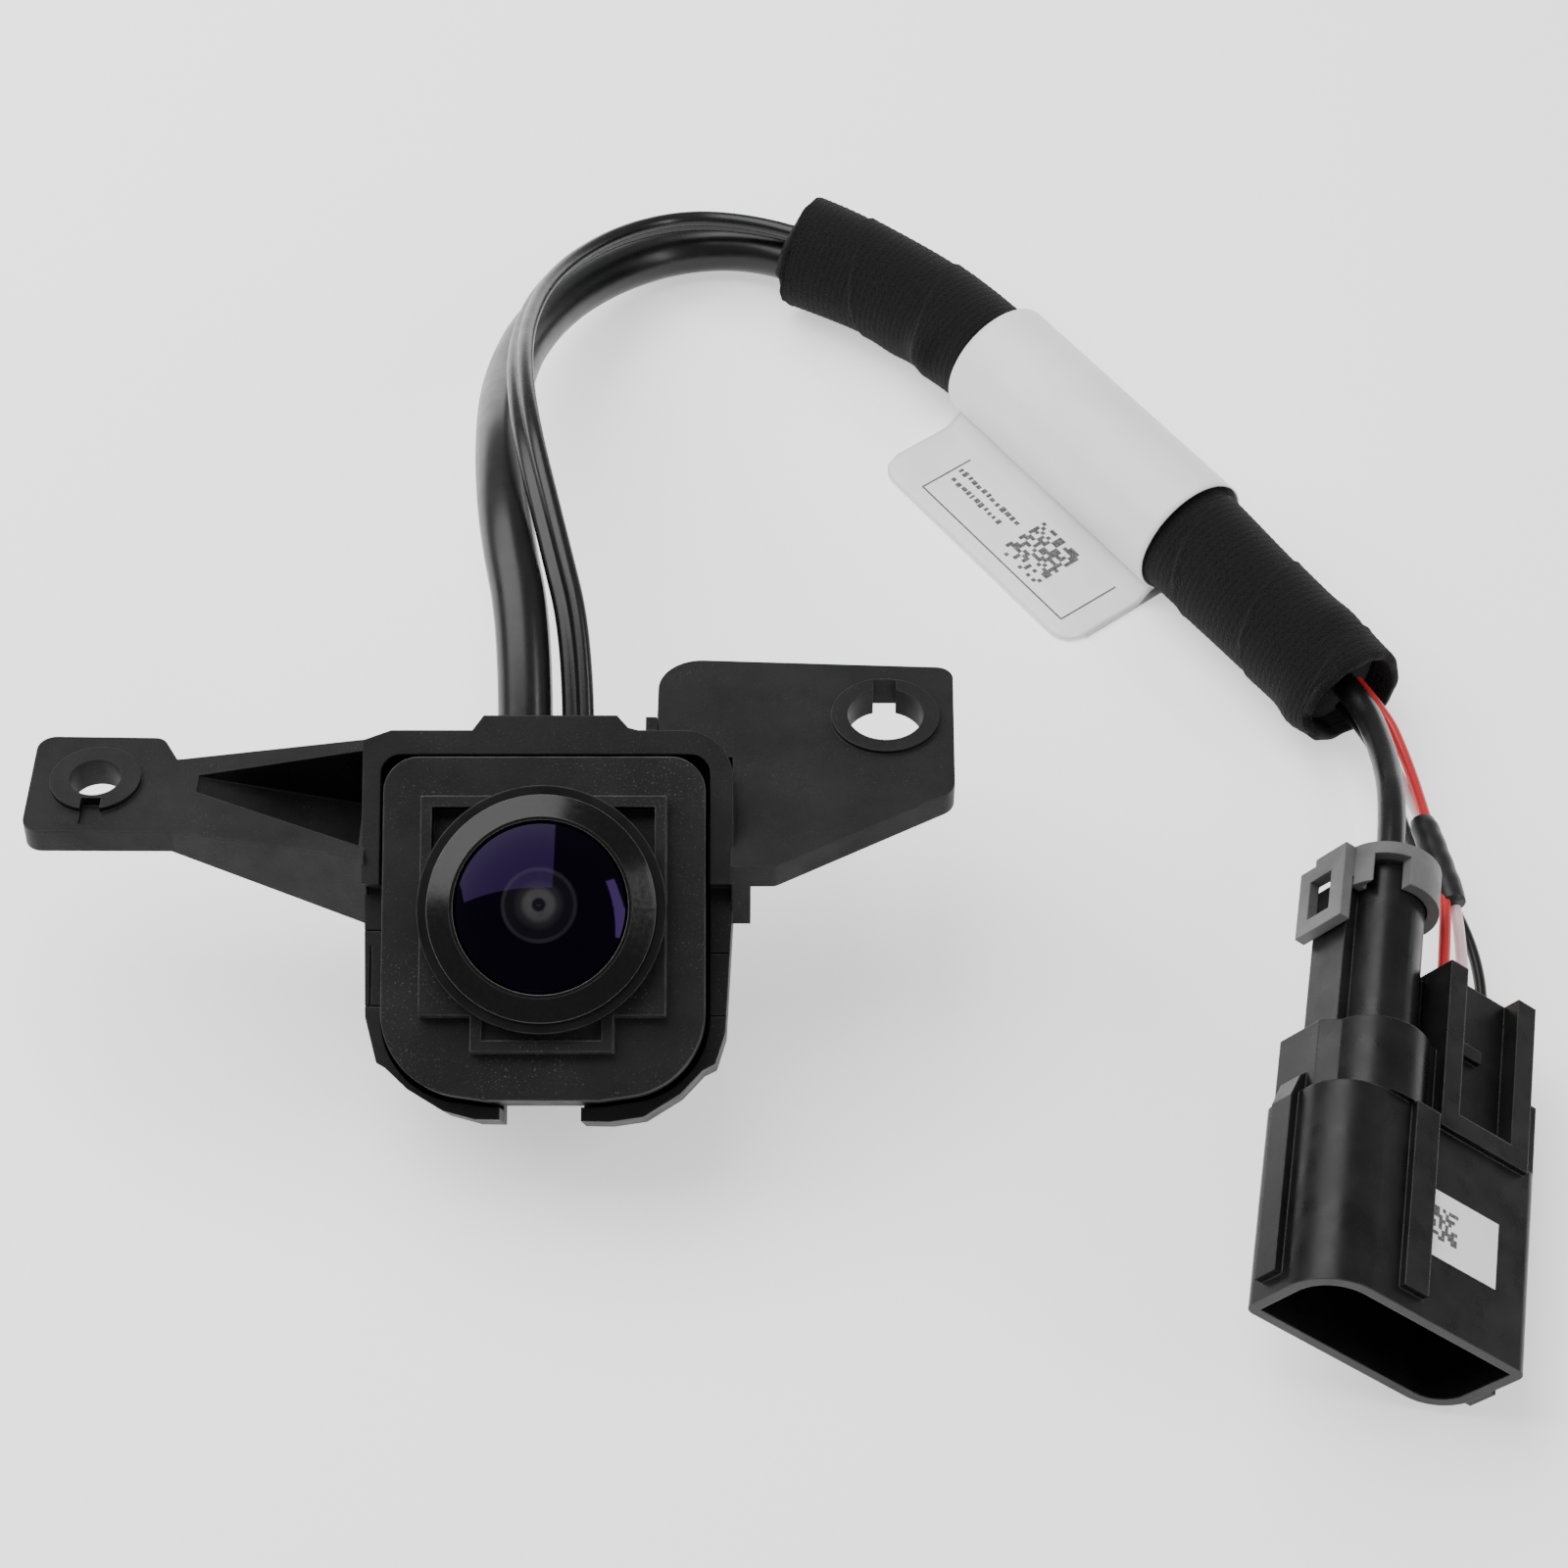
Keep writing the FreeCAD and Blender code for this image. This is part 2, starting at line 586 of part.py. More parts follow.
def left_arm():
    """The tab with its boss and hole, and the hollow arm that widens towards the frame."""
    tab = prism("left_tab", [("-42.3", "14.9"), ("-42.2", "3.6"), ("-25.4", "3.5"), ("-25.4", "12.3"),
                             ("-30.6", "12.1"), ("-32", "14.7")], "-tab_thick", "0")
    tab = rounded("left_tab_round", tab, ("-42.3", "14.9", "1.5"), ("-42.2", "3.6", "1.5"),
                  ("-32", "14.7", "1.2"))
    boss = rod("left_boss", "3.7", "-0.1", "0.5", "-left_hole_x", "left_hole_y")
    groove = prism("left_groove", rectangle("-left_hole_x - 0.8", "-left_hole_x + 0.8", "4.4",
                                            "left_hole_y - 2.4"), "-0.4", "1")
    hole = rod("left_hole", "left_hole_r", "-4", "2", "-left_hole_x", "left_hole_y")
    beam = wedge("arm_beam", (-30.4, 3.6, 12.1, 0.0, 2.2), (-14.4, 0.5, 14.7, 0.0, 7.6))
    trough = wedge("arm_trough", (-28.6, 8.2, 10.2, -0.2, 0.2), (-14.9, 1.9, 13.3, -0.2, 6.4))
    return [tab, boss, beam], [groove, hole, trough]


def right_plate():
    plate = prism("right_plate", [("8.6", "12.4"), ("8.6", "24.6"), ("33.3", "23.5"), ("33", "8.4"),
                                  ("18.4", "-0.5"), ("14.9", "-0.5"), ("14.9", "12.4")], "-tab_thick", "0")
    plate = rounded("right_plate_round", plate, ("8.6", "24.6", "3.6"), ("33.3", "23.5", "1.4"),
                    ("33", "8.4", "1.8"), ("18.4", "-0.5", "0.8"))
    boss = rod("right_boss", "4.5", "-0.1", "0.4", "right_hole_x", "right_hole_y")
    hole = rod("right_hole", "right_hole_r", "-4", "2", "right_hole_x", "right_hole_y")
    key = prism("right_key", rectangle("right_hole_x - 0.95", "right_hole_x + 0.95", "right_hole_y",
                                       "right_hole_y + right_hole_r + 1.1"), "-4", "2")
    rib = prism("right_rib", rectangle("14.9", "16.4", "-0.5", "11.6"), "-6.4", "-tab_thick + 0.2")
    flange = prism("right_flange", rectangle("8.6", "10", "12.4", "20.9"), "-4.6", "-tab_thick + 0.2")
    return [plate, boss, rib, flange], [hole, key]


def mounting_bracket():
    solids, holes = bracket_frame()
    for arm_solids, arm_holes in (left_arm(), right_plate()):
        solids += [lean_back(item) for item in arm_solids]
        holes += [lean_back(item) for item in arm_holes]
    return cut("mounting_bracket", joined("bracket_blank", *solids), *holes)


# ---------------------------------------------------------------- plug

def connector_shell():
    body = new_body("connector_shell")
    pad(body, "shroud", rectangle("-plug_thin", "plug_thin", "-plug_half", "plug_half"), "0", "shroud_long")
    wall = "shroud_wall"
    pocket(body, "mouth",
           rectangle(f"-plug_thin + {wall}", f"plug_thin - {wall}", f"-plug_half + {wall}", f"plug_half - {wall}"),
           "mouth_deep", "0")
    soften(body, "mouth_corner",
           (f"plug_thin - {wall}", f"-plug_half + {wall}", "3.5"),
           (f"-plug_thin + {wall}", f"plug_half - {wall}", "2.7"))
    soften(body, "shroud_corner",
           ("plug_thin", "-plug_half", "4.4"), ("-plug_thin", "plug_half", "3.6"),
           ("plug_thin", "plug_half", "1"), ("-plug_thin", "-plug_half", "1"))
    pad(body, "neck",
        [("-plug_thin + inset", "-plug_half + inset"), ("0.4", "-plug_half + inset"), ("plug_thin - inset", "-6.6"),
         ("plug_thin - inset", "plug_half"), ("-plug_thin + inset", "plug_half")],
        "shroud_long", "neck_end")
    pad_round(body, "dome", "stem_r + 1.25", "shroud_long", "neck_end")
    pad_round(body, "stem", "stem_r", "neck_end", "stem_end")
    pad(body, "stem_side", rectangle("-3", "1", "-8.4", "stem_x"), "neck_end", "stem_end - 1")
    pad(body, "wire_block", rectangle("-4.2", "rail_floor", "block_left", "block_right"), "neck_end", "block_end")
    pad(body, "block_web", rectangle("-4.2", "2", "-2.4", "block_left"), "neck_end", "block_end - 0.6")
    rail(body)
    ribs(body)
    drill(body, "stem_cavity", "stem_bore", "stem_z", "stem_x", "stem_end", "mouth_deep - 1")
    for number, place in enumerate(WIRE_PLACES):
        drill(body, f"wire_cavity_{number}", "0.95", WIRE_HEIGHT, place, "block_end", "mouth_deep - 1")
    return body


WIRE_PLACES = ["2.2", "4.4", "6.6"]
WIRE_HEIGHT = "1.2"


def pad_round(body, name, radius, low, high):
    """A round pad about the stem's axis."""
    sketch = body_sketch(body, "XY_Plane", name + "_outline", low)
    draw_circle(sketch, radius, "stem_z", "stem_x")
    return lengthened(body, "PartDesign::Pad", name, sketch, f"({high}) - ({low})")


def rail(body):
    """The walls, front ledge and small catch of the clip rail, and its channel."""
    front = "shroud_long - 0.8"
    pad(body, "rail_block", rectangle("2", "rail_top", "block_left", "block_right"), front, "block_end")
    pocket(body, "rail_channel", rectangle("rail_floor", "rail_top + 1", "block_left + 1.8", "block_right - 1.9"),
           "block_end", front + " + 1.8")
    pad(body, "rail_catch", rectangle("rail_floor - 0.2", "rail_floor + 0.6", "1.7", "4"), "26", "27.2")


def ribs(body):
    """Guide ribs outside the shroud, the side one with a sloping end, and a small lug at the mouth."""
    side = body_sketch(body, "YZ_Plane", "side_rib_outline", "-2.9")
    draw(side, [("-plug_half - 0.75", "1.5"), ("-plug_half + 0.8", "1.5"), ("-plug_half + 0.8", "20.6"),
                ("-plug_half", "19.8"), ("-plug_half - 0.75", "17.6")])
    lengthened(body, "PartDesign::Pad", "side_rib", side, "2.3")
    pad(body, "face_rib", rectangle("plug_thin - 0.3", "plug_thin + 0.7", "-3.3", "-0.9"), "1.5", "shroud_long")
    pad(body, "mouth_lug", rectangle("-2.4", "0.4", "plug_half - 0.3", "plug_half + 0.85"), "0.3", "2.4")


def seal_retainer():
    """The grey cap that holds the cable seal: a ring with a window and a side latch loop."""
    ring = rod("cap_ring", "cap_r", "cap_end - 4", "cap_end", "stem_z", "stem_x")
    loop = box("cap_loop", ("-3.8", "1.7"), ("-9.6", "-8.62"), ("cap_end - 7.6", "cap_end - 0.9"))
    bridge = box("cap_bridge", ("-2", "1.7"), ("-9.6", "-7.2"), ("cap_end - 3.2", "cap_end - 0.2"))
    room = rod("cap_room", "stem_r + 0.15", "cap_end - 5", "cap_end - 1", "stem_z", "stem_x")
    hole = rod("cap_hole", "lead_r + 0.5", "cap_end - 2", "cap_end + 1", "stem_z", "stem_x")
    slot = box("cap_loop_slot", ("-2.5", "0.1"), ("-10", "-8.3"), ("cap_end - 6.2", "cap_end - 2.3"))
    window = box("cap_window", ("stem_z + 1", "stem_z + 6"), ("stem_x - 3.6", "stem_x - 1.2"),
                 ("cap_end - 5", "cap_end - 1.2"))
    side = box("cap_side_room", ("-3.3", "1.3"), ("-8.6", "stem_x"), ("cap_end - 5", "cap_end - 1.6"))
    return cut("seal_retainer", joined("cap_blank", ring, loop, bridge), room, hole, slot, window, side)


def contact_pins():
    pieces = []
    for number, place in enumerate(WIRE_PLACES):
        blade = rod(f"pin_tip_{number}", "0.35", "8", "15", WIRE_HEIGHT, place)
        crimp = rod(f"pin_crimp_{number}", "0.9", "14.6", "24", WIRE_HEIGHT, place)
        pieces.append(joined(f"pin_{number}", blade, crimp))
    return grouped("contact_pins", pieces)


def coax_contact():
    shell = rod("coax_outer", "stem_bore - 0.1", "9", "24", "stem_z", "stem_x")
    bore = rod("coax_bore", "stem_bore - 0.55", "8", "20", "stem_z", "stem_x")
    pin = rod("coax_pin", "0.4", "10.5", "20.5", "stem_z", "stem_x")
    return joined("coax_contact", cut("coax_sleeve", shell, bore), pin)


def cable_seal():
    return rod("cable_seal", "stem_bore", "stem_end - 5", "stem_end", "stem_z", "stem_x")


def wire_seals():
    return grouped("wire_seals", [
        rod(f"wire_seal_{number}", "0.95", "block_end - 4", "block_end", WIRE_HEIGHT, place)
        for number, place in enumerate(WIRE_PLACES)])


def terminal_lock():
    """The slide in the mouth that locks the contacts: a comb plate with finger slots."""
    plate = box("lock_plate", ("-2.9", "-1.2"), ("-1.4", "8.6"), ("mouth_deep - 2.4", "mouth_deep - 0.1"))
    slots = [box(f"lock_slot_{number}", ("-2", "-1"), (f"{place} - 0.5", f"{place} + 0.5"),
                 ("mouth_deep - 3", "mouth_deep - 1.2")) for number, place in enumerate(WIRE_PLACES)]
    return cut("terminal_lock", plate, *slots)


def connector_label():
    return box("connector_label", ("plug_thin", "plug_thin + 0.08"), ("-0.85", "6.3"), ("5.8", "11.7"))


# ---------------------------------------------------------------- harness

# Routes of the free cords, chosen by hand, in the kit's own frame.
CABLE_ROUTE = [
    (2.1, 11.23, 19.17), (2.1, 20.06, 24.27), (0.0, 30.0, 26.0), (-1.0, 40.0, 24.2),
    (-1.6, 49.8, 19.6), (-1.7, 59.6, 14.2), (-0.8, 69.0, 9.6), (1.9, 77.4, 6.2), (6.7, 84.2, 3.9),
    (13.1, 88.4, 2.7), (20.2, 88.5, 3.0), (26.9, 84.7, 4.15), (32.4, 81.3, 4.15), (37.2, 77.6, 4.15)
]
PAIR_ROUTE = [
    (6.5, 11.23, 19.17), (6.5, 19.2, 23.77), (4.0, 28.4, 27.6), (1.5, 38.8, 29.2), (0.2, 49.6, 25.8),
    (0.0, 60.0, 20.6), (1.0, 69.6, 15.8), (3.6, 77.6, 11.9), (8.0, 83.9, 9.2), (14.0, 87.4, 7.7),
    (20.4, 87.0, 7.5), (26.6, 84.3, 7.95), (31.8, 81.6, 7.95)
]
SLEEVE_ROUTE = [
    (24.95, 85.16, 5.9), (34.6, 80.06, 5.9), (44.0, 69.86, 5.9), (60.9, 47.26, 5.9),
    (74.3, 27.76, 5.9)
]
LEAD_ROUTE = [
    (68.3, 36.6, 6.9), (74.4, 27.9, 6.9), (75.6, 18.6, 9.6), (74.98, 9.73, 13.05),
    (73.68, 1.87, 13.05)
]
RED_ROUTE = [
    (69.6, 36.3, 4.9), (75.7, 27.5, 4.7), (77.4, 20.6, 5.0), (78.0, 14.0, 6.8), (79.3, 5.0, 8.7),
    (78.3, -2.9, 9.5), (77.71, -6.47, 9.5)
]
WHITE_ROUTE = [
    (70.6, 36.9, 5.9), (76.7, 27.6, 5.3), (78.4, 20.8, 5.2), (79.04, 14.1, 6.8), (80.34, 5.1, 8.7),
    (80.07, -3.2, 8.23), (79.48, -6.76, 8.23)
]
BLACK_ROUTE = [
    (68.9, 35.6, 4.0), (75.2, 26.9, 3.6), (76.9, 20.0, 3.6), (77.9, 12.6, 4.2), (80.9, 4.4, 6.0),
    (81.84, -3.5, 6.95), (81.25, -7.05, 6.95)
]
SHRINK_ROUTE = [
    (78.55, 13.4, 7.0), (79.2, 8.4, 8.0), (79.85, 3.4, 8.8)
]


def tube_edges(name, route):
    """Straight runs joined by tangent arcs, each as large as its two runs allow."""
    points = [Vector(*place) for place in route]
    edges, start, radii = [], points[0], []
    for before, corner, after in zip(points, points[1:], points[2:]):
        back, ahead = (before - corner), (after - corner)
        reach = 0.45 * min(back.Length, ahead.Length)
        back.normalize()
        ahead.normalize()
        half_turn = (math.pi - back.getAngle(ahead)) / 2
        radii.append(reach / math.tan(half_turn))
        first, last = corner + back * reach, corner + ahead * reach
        middle = corner + (back + ahead).normalize() * radii[-1] * (1 / math.cos(half_turn) - 1)
        edges += [Part.LineSegment(start, first).toShape(), Part.Arc(first, middle, last).toShape()]
        start = last
    edges.append(Part.LineSegment(start, points[-1]).toShape())
    print(name, "radii", [round(radius, 1) for radius in radii], "length",
          round(sum(edge.Length for edge in edges), 1))
    return edges


def tube(name, route, radius):
    """A round solid along a route, its volume checked against section times length."""
    edges = tube_edges(name, route)
    direction = Vector(*route[1]) - Vector(*route[0])
    ring = Part.Wire(Part.makeCircle(radius, Vector(*route[0]), direction))
    solid = Part.Wire(edges).makePipeShell([ring], True, False)
    ideal = math.pi * radius ** 2 * sum(edge.Length for edge in edges)
    assert abs(solid.Volume / ideal - 1) < 0.01, f"{name} has the wrong volume"
    return solid


def feature(name, shape):
    item = doc.addObject("Part::Feature", name)
    item.Shape = shape
    return item


def camera_cable():
    return feature("camera_cable", tube("camera_cable", CABLE_ROUTE, val("cable_r")))


def power_pair():
    return feature("power_pair", tube("power_pair", PAIR_ROUTE, val("pair_r")))


def harness_sleeve():
    outer = tube("harness_sleeve", SLEEVE_ROUTE, val("sleeve_r"))
    return feature("harness_sleeve", outer.cut(tube("sleeve_bore", SLEEVE_ROUTE, val("sleeve_bore"))))


def signal_lead():
    return feature("signal_lead", tube("signal_lead", LEAD_ROUTE, val("lead_r")))


def wires():
    return {name: feature(name, tube(name, route, val("wire_r")))
            for name, route in (("red_wire", RED_ROUTE), ("white_wire", WHITE_ROUTE), ("black_wire", BLACK_ROUTE))}


def shrink_tube():
    outer = tube("shrink_tube", SHRINK_ROUTE, val("shrink_r"))
    return feature("shrink_tube", outer.cut(tube("shrink_bore", SHRINK_ROUTE, val("shrink_bore"))))


def harness_label():
    """A label wrapped round the sleeve, its two ends stuck together as a flat flag."""
    bend, end = Vector(*SLEEVE_ROUTE[2]), Vector(*SLEEVE_ROUTE[3])
    along = FreeCAD.Rotation(Vector(1, 0, 0), end - bend)
    place = FreeCAD.Placement(Vector(bend.x, bend.y, 0), along)
    long, wide, thick, lift = val("flag_long"), val("flag_wide"), val("flag_thick"), val("flag_lift")
    room = 2 * val("label_r")
    stretch = Part.makeBox(long + 0.9, 2 * room, 2 * room, Vector(-0.9, -room, -1))
    stretch.Placement = place
    wrap = tube("label_wrap", SLEEVE_ROUTE, val("label_r")).common(stretch)
    wrap = wrap.cut(tube("label_bore", SLEEVE_ROUTE, val("sleeve_r") + 0.02))
    flag = Part.makeBox(long, wide, thick, Vector(0, -wide, lift))
    outer_corners = [edge for edge in flag.Edges
                     if all(vertex.Point.y == -wide for vertex in edge.Vertexes)
                     and edge.Length < 2 * thick]
    flag = flag.makeFillet(val("flag_round"), outer_corners)
    flag.Placement = place
    return feature("harness_label", wrap.fuse(flag))


# ---------------------------------------------------------------- placing and writing

def unit_place():
    return FreeCAD.Placement(Vector(val("unit_x"), val("unit_y"), val("unit_z")),
                             FreeCAD.Rotation(Vector(1, 0, 0), val("unit_lean")))


def plug_place():
    upright_to_laid = FreeCAD.Rotation(Vector(1, 1, 1), -120)
    yaw = FreeCAD.Rotation(Vector(0, 0, 1), val("plug_yaw"))
    roll = FreeCAD.Rotation(Vector(0, 1, 0), val("plug_roll"))
    return FreeCAD.Placement(Vector(val("plug_x"), val("plug_y"), val("plug_z")),
                             yaw.multiply(roll).multiply(upright_to_laid))


def make_camera_unit():
    return {
        "front_cover": front_cover(),
        "rear_cover": rear_cover(),
        "cover_seal": cover_seal(),
        "cable_gland": cable_gland(),
        "lens_barrel": lens_barrel(),
        "bezel_ring": bezel_ring(),
        "front_lens": front_lens(),
        "second_lens": small_lens("second_lens", "-3.4", "-1", "4.2"),
        "third_lens": small_lens("third_lens", "-6.3", "-4", "5"),
        "lens_spacer": lens_spacer(),
        "aperture_stop": aperture_stop(),
        "lens_o_ring": lens_o_ring(),
        "image_sensor": box("image_sensor", ("-3.2", "3.2"), ("-3.2", "3.2"), ("-10", "-9.3")),
        "ir_filter": box("ir_filter", ("-2.6", "2.6"), ("-2.6", "2.6"), ("-9.3", "-8.7")),
        "sensor_board": board("sensor_board", "-10"),
        "processor_board": board("processor_board", "-13.7"),
        "board_connector": box("board_connector", ("-4", "4"), ("-7.6", "-5.6"), ("-13.7", "-10.9")),
        "cable_header": box("cable_header", ("-4.8", "3.8"), ("5.4", "8.8"), ("-13.7", "-11.4")),
        "shield_can": shield_can(),
        "board_screws": board_screws(),
        "board_spacers": board_spacers(),
        "mounting_bracket": mounting_bracket(),
    }


def make_plug():
    return {
        "connector_shell": connector_shell(),
        "seal_retainer": seal_retainer(),
        "contact_pins": contact_pins(),
        "coax_contact": coax_contact(),
        "cable_seal": cable_seal(),
        "wire_seals": wire_seals(),
        "terminal_lock": terminal_lock(),
        "connector_label": connector_label(),
    }


def make_harness():
    return {
        "camera_cable": camera_cable(),
        "power_pair": power_pair(),
        "harness_sleeve": harness_sleeve(),
        "harness_label": harness_label(),
        "signal_lead": signal_lead(),
        "shrink_tube": shrink_tube(),
        **wires(),
    }


def write_nodes(nodes):
    os.makedirs("parts", exist_ok=True)
    for name, item in nodes.items():
        shape = item.Shape
        assert not shape.isNull() and shape.isValid(), f"{name} is not a valid shape"
        item.Label = name
        shape.exportStep(f"parts/{name}.step")


def main():
    fill_sheet()
    unit, plug, harness = make_camera_unit(), make_plug(), make_harness()
    doc.recompute()
    for item in doc.Objects:
        assert not {"Invalid", "Error"} & set(item.State), f"{item.Name} failed"
    for group, place in ((unit, unit_place()), (plug, plug_place())):
        for item in group.values():
            item.Placement = place.multiply(item.Placement)
    write_nodes({**unit, **plug, **harness})


main()
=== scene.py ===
import json
import math
import random

import bpy
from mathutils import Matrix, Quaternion, Vector


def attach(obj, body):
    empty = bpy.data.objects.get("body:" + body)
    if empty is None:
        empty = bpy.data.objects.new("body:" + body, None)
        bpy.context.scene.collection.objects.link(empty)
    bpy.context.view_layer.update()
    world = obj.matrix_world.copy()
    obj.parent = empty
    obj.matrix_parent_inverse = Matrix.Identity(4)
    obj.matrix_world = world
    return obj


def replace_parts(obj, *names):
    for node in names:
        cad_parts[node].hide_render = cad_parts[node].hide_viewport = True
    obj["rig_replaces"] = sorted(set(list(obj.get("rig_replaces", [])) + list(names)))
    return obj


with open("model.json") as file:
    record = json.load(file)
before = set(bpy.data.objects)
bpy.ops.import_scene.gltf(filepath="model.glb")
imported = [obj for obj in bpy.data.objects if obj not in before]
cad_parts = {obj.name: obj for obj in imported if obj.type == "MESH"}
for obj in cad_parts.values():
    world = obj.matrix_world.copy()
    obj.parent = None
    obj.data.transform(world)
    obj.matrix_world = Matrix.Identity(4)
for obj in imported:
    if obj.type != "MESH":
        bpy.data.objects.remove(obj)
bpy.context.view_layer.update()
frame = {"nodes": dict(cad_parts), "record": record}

# Backup camera kit: looks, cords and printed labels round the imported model. Metres, +Z up.

NODES = frame["nodes"]
SLOTS = {part["node"]: part["material_slot"] for part in frame["record"]["subparts"]}
UPWARDS = Vector((0, 0, 1))

# Cord routes. They are the solids' own, but the red wire lies in front of the white one before
# the shrink tube, and the two change places inside it.
CABLE_ROUTE = [
    (0.0021, 0.01123, 0.01917), (0.0021, 0.02006, 0.02427), (0.0, 0.030, 0.026), (-0.001, 0.040, 0.0242),
    (-0.0016, 0.0498, 0.0196), (-0.0017, 0.0596, 0.0142), (-0.0008, 0.069, 0.0096), (0.0019, 0.0774, 0.0062),
    (0.0067, 0.0842, 0.0039), (0.0131, 0.0884, 0.0027), (0.0202, 0.0885, 0.003), (0.0269, 0.0847, 0.00415),
    (0.0324, 0.0813, 0.00415), (0.0372, 0.0776, 0.00415),
]
PAIR_ROUTE = [
    (0.0065, 0.01123, 0.01917), (0.0065, 0.0192, 0.02377), (0.004, 0.0284, 0.0276), (0.0015, 0.0388, 0.0292),
    (0.0002, 0.0496, 0.0258), (0.0, 0.060, 0.0206), (0.001, 0.0696, 0.0158), (0.0036, 0.0776, 0.0119),
    (0.008, 0.0839, 0.0092), (0.014, 0.0874, 0.0077), (0.0204, 0.087, 0.0075), (0.0266, 0.0843, 0.00795),
    (0.0318, 0.0816, 0.00795),
]
SLEEVE_ROUTE = [
    (0.02495, 0.08516, 0.0059), (0.0346, 0.08006, 0.0059), (0.044, 0.06986, 0.0059),
    (0.0609, 0.04726, 0.0059), (0.0743, 0.02776, 0.0059),
]
LEAD_ROUTE = [
    (0.0683, 0.0366, 0.0069), (0.0744, 0.0279, 0.0069), (0.0756, 0.0186, 0.0096), (0.07498, 0.00973, 0.01305),
    (0.07368, 0.00187, 0.01305),
]
RED_ROUTE = [
    (0.0704, 0.0368, 0.0059), (0.0766, 0.0276, 0.0058), (0.0782, 0.0207, 0.0060), (0.0788, 0.0138, 0.0073),
    (0.0794, 0.005, 0.0089), (0.0783, -0.0029, 0.0095), (0.07771, -0.00647, 0.0095),
]
WHITE_ROUTE = [
    (0.0696, 0.0363, 0.0049), (0.0757, 0.0275, 0.0044), (0.0774, 0.0206, 0.0048), (0.0785, 0.0141, 0.0066),
    (0.0802, 0.0051, 0.0082), (0.08007, -0.0032, 0.00823), (0.07948, -0.00676, 0.00823),
]
BLACK_ROUTE = [
    (0.0689, 0.0356, 0.004), (0.0752, 0.0269, 0.0036), (0.0769, 0.020, 0.0036), (0.0779, 0.0126, 0.0042),
    (0.0809, 0.0044, 0.006), (0.08184, -0.0035, 0.00695), (0.08125, -0.00705, 0.00695),
]
SHRINK_ROUTE = [(0.07855, 0.0134, 0.007), (0.0792, 0.0084, 0.008), (0.07985, 0.0034, 0.0088)]

CABLE_RADIUS = 0.0023
PAIR_WIDTH = 0.0028
SLEEVE_RADIUS = 0.0055
LEAD_RADIUS = 0.0012
WIRE_RADIUS = 0.0005
SHRINK_RADIUS = 0.00125

# The cloth tape of the sleeve: the distance between ribs and between winds, then its lumps as
# (distance along, angle round, height, length, width in radians).
RIB_PITCH = 0.00066
WIND_PITCH = 0.0095
TAPE_LUMPS = [
    (0.0195, 0.15, 0.00075, 0.0016, 0.5), (0.0140, 5.2, 0.00035, 0.0022, 0.6),
    (0.0705, 2.0, 0.00040, 0.0020, 0.7), (0.0735, 5.9, 0.00050, 0.0016, 0.6),
]

# The label's flag: its corner on the floor, along the sleeve, and outwards from it.
FLAG_CORNER = Vector((*SLEEVE_ROUTE[2][:2], 0))
FLAG_ALONG = (Vector(SLEEVE_ROUTE[3]) - Vector(SLEEVE_ROUTE[2])).normalized()
FLAG_OUT = FLAG_ALONG.cross(UPWARDS)

# The label: its length along the sleeve, then the radius of its wrap and the height of the wrap's
# axis. Its flag: how far out it reaches, the radius of its corners, how far out its two layers
# meet, and the heights of the layers.
LABEL_LENGTH = 0.0283
WRAP_RADIUS = 0.00585
WRAP_HEIGHT = SLEEVE_ROUTE[2][2]
FLAG_REACH = 0.0143
FLAG_RADIUS = 0.0024
FLAG_START = 0.0062
FLAG_TOP = 0.00036
FLAG_BOTTOM = 0.00008
FILM_THICKNESS = 0.00016

# The print on both labels: its thickness, the height it starts at on each label, and a line's width.
INK_THICKNESS = 0.00002
FLAG_INK_HEIGHT = 0.00045
PLUG_INK_HEIGHT = 0.00499
LINE_WIDTH = 0.00016

# The plug's own axes: back towards its cables, across, and up out of its rail face.
PLUG_YAW = math.radians(-9.4)
PLUG_ROLL = math.radians(35.4)
PLUG_MOUTH = Vector((0.0698, -0.03904, 0.0098))
PLUG_BACK = Vector((-math.sin(PLUG_YAW), math.cos(PLUG_YAW), 0))
PLUG_LEVEL = Vector((math.cos(PLUG_YAW), math.sin(PLUG_YAW), 0))
PLUG_ACROSS = PLUG_LEVEL * math.cos(PLUG_ROLL) - UPWARDS * math.sin(PLUG_ROLL)
PLUG_UP = PLUG_LEVEL * math.sin(PLUG_ROLL) + UPWARDS * math.cos(PLUG_ROLL)

# The camera unit: the middle of its cover face, how far it leans back, and the way its lens looks.
UNIT_MIDDLE = Vector((0.0045, -0.00735, 0.0223))
UNIT_LEAN = math.radians(30)
LENS_AXIS = Vector((0, -math.sin(UNIT_LEAN), math.cos(UNIT_LEAN)))

# The dark of the lens glass, and the iris and inner lenses behind it as grey rings painted on it, their pale
# grey a painted reflection of the lamps in the inner lenses, as (outer radius, inner radius, brightness).
GLASS_BLACK = (0.0007, 0.0006, 0.0010, 1)
INNER_REFLECTION_RINGS = [
    (0.00305, 0.00290, 0.014), (0.00275, 0.00262, 0.0045), (0.00205, 0.00160, 0.013),
    (0.00150, 0.00110, 0.040), (0.00062, 0.00045, 0.006),
]

# Depth of the fine grain of plastic and rubber.
GRAIN_DEPTH = 0.00006

# Light: the even surroundings, the floor's own, and where the two panels stand from the camera unit.
WORLD_STRENGTH = 0.42
FLOOR_GLOW = 0.75
SOFTBOX_ASIDE = Vector((-0.38, 0.18, 0))
SOFTBOX_ABOVE = Vector((0, 0, 0.40))
STRIP_OFFSET = Vector((0.43, -0.09, 0.25))


# ---------------------------------------------------------------- camera, light and floor

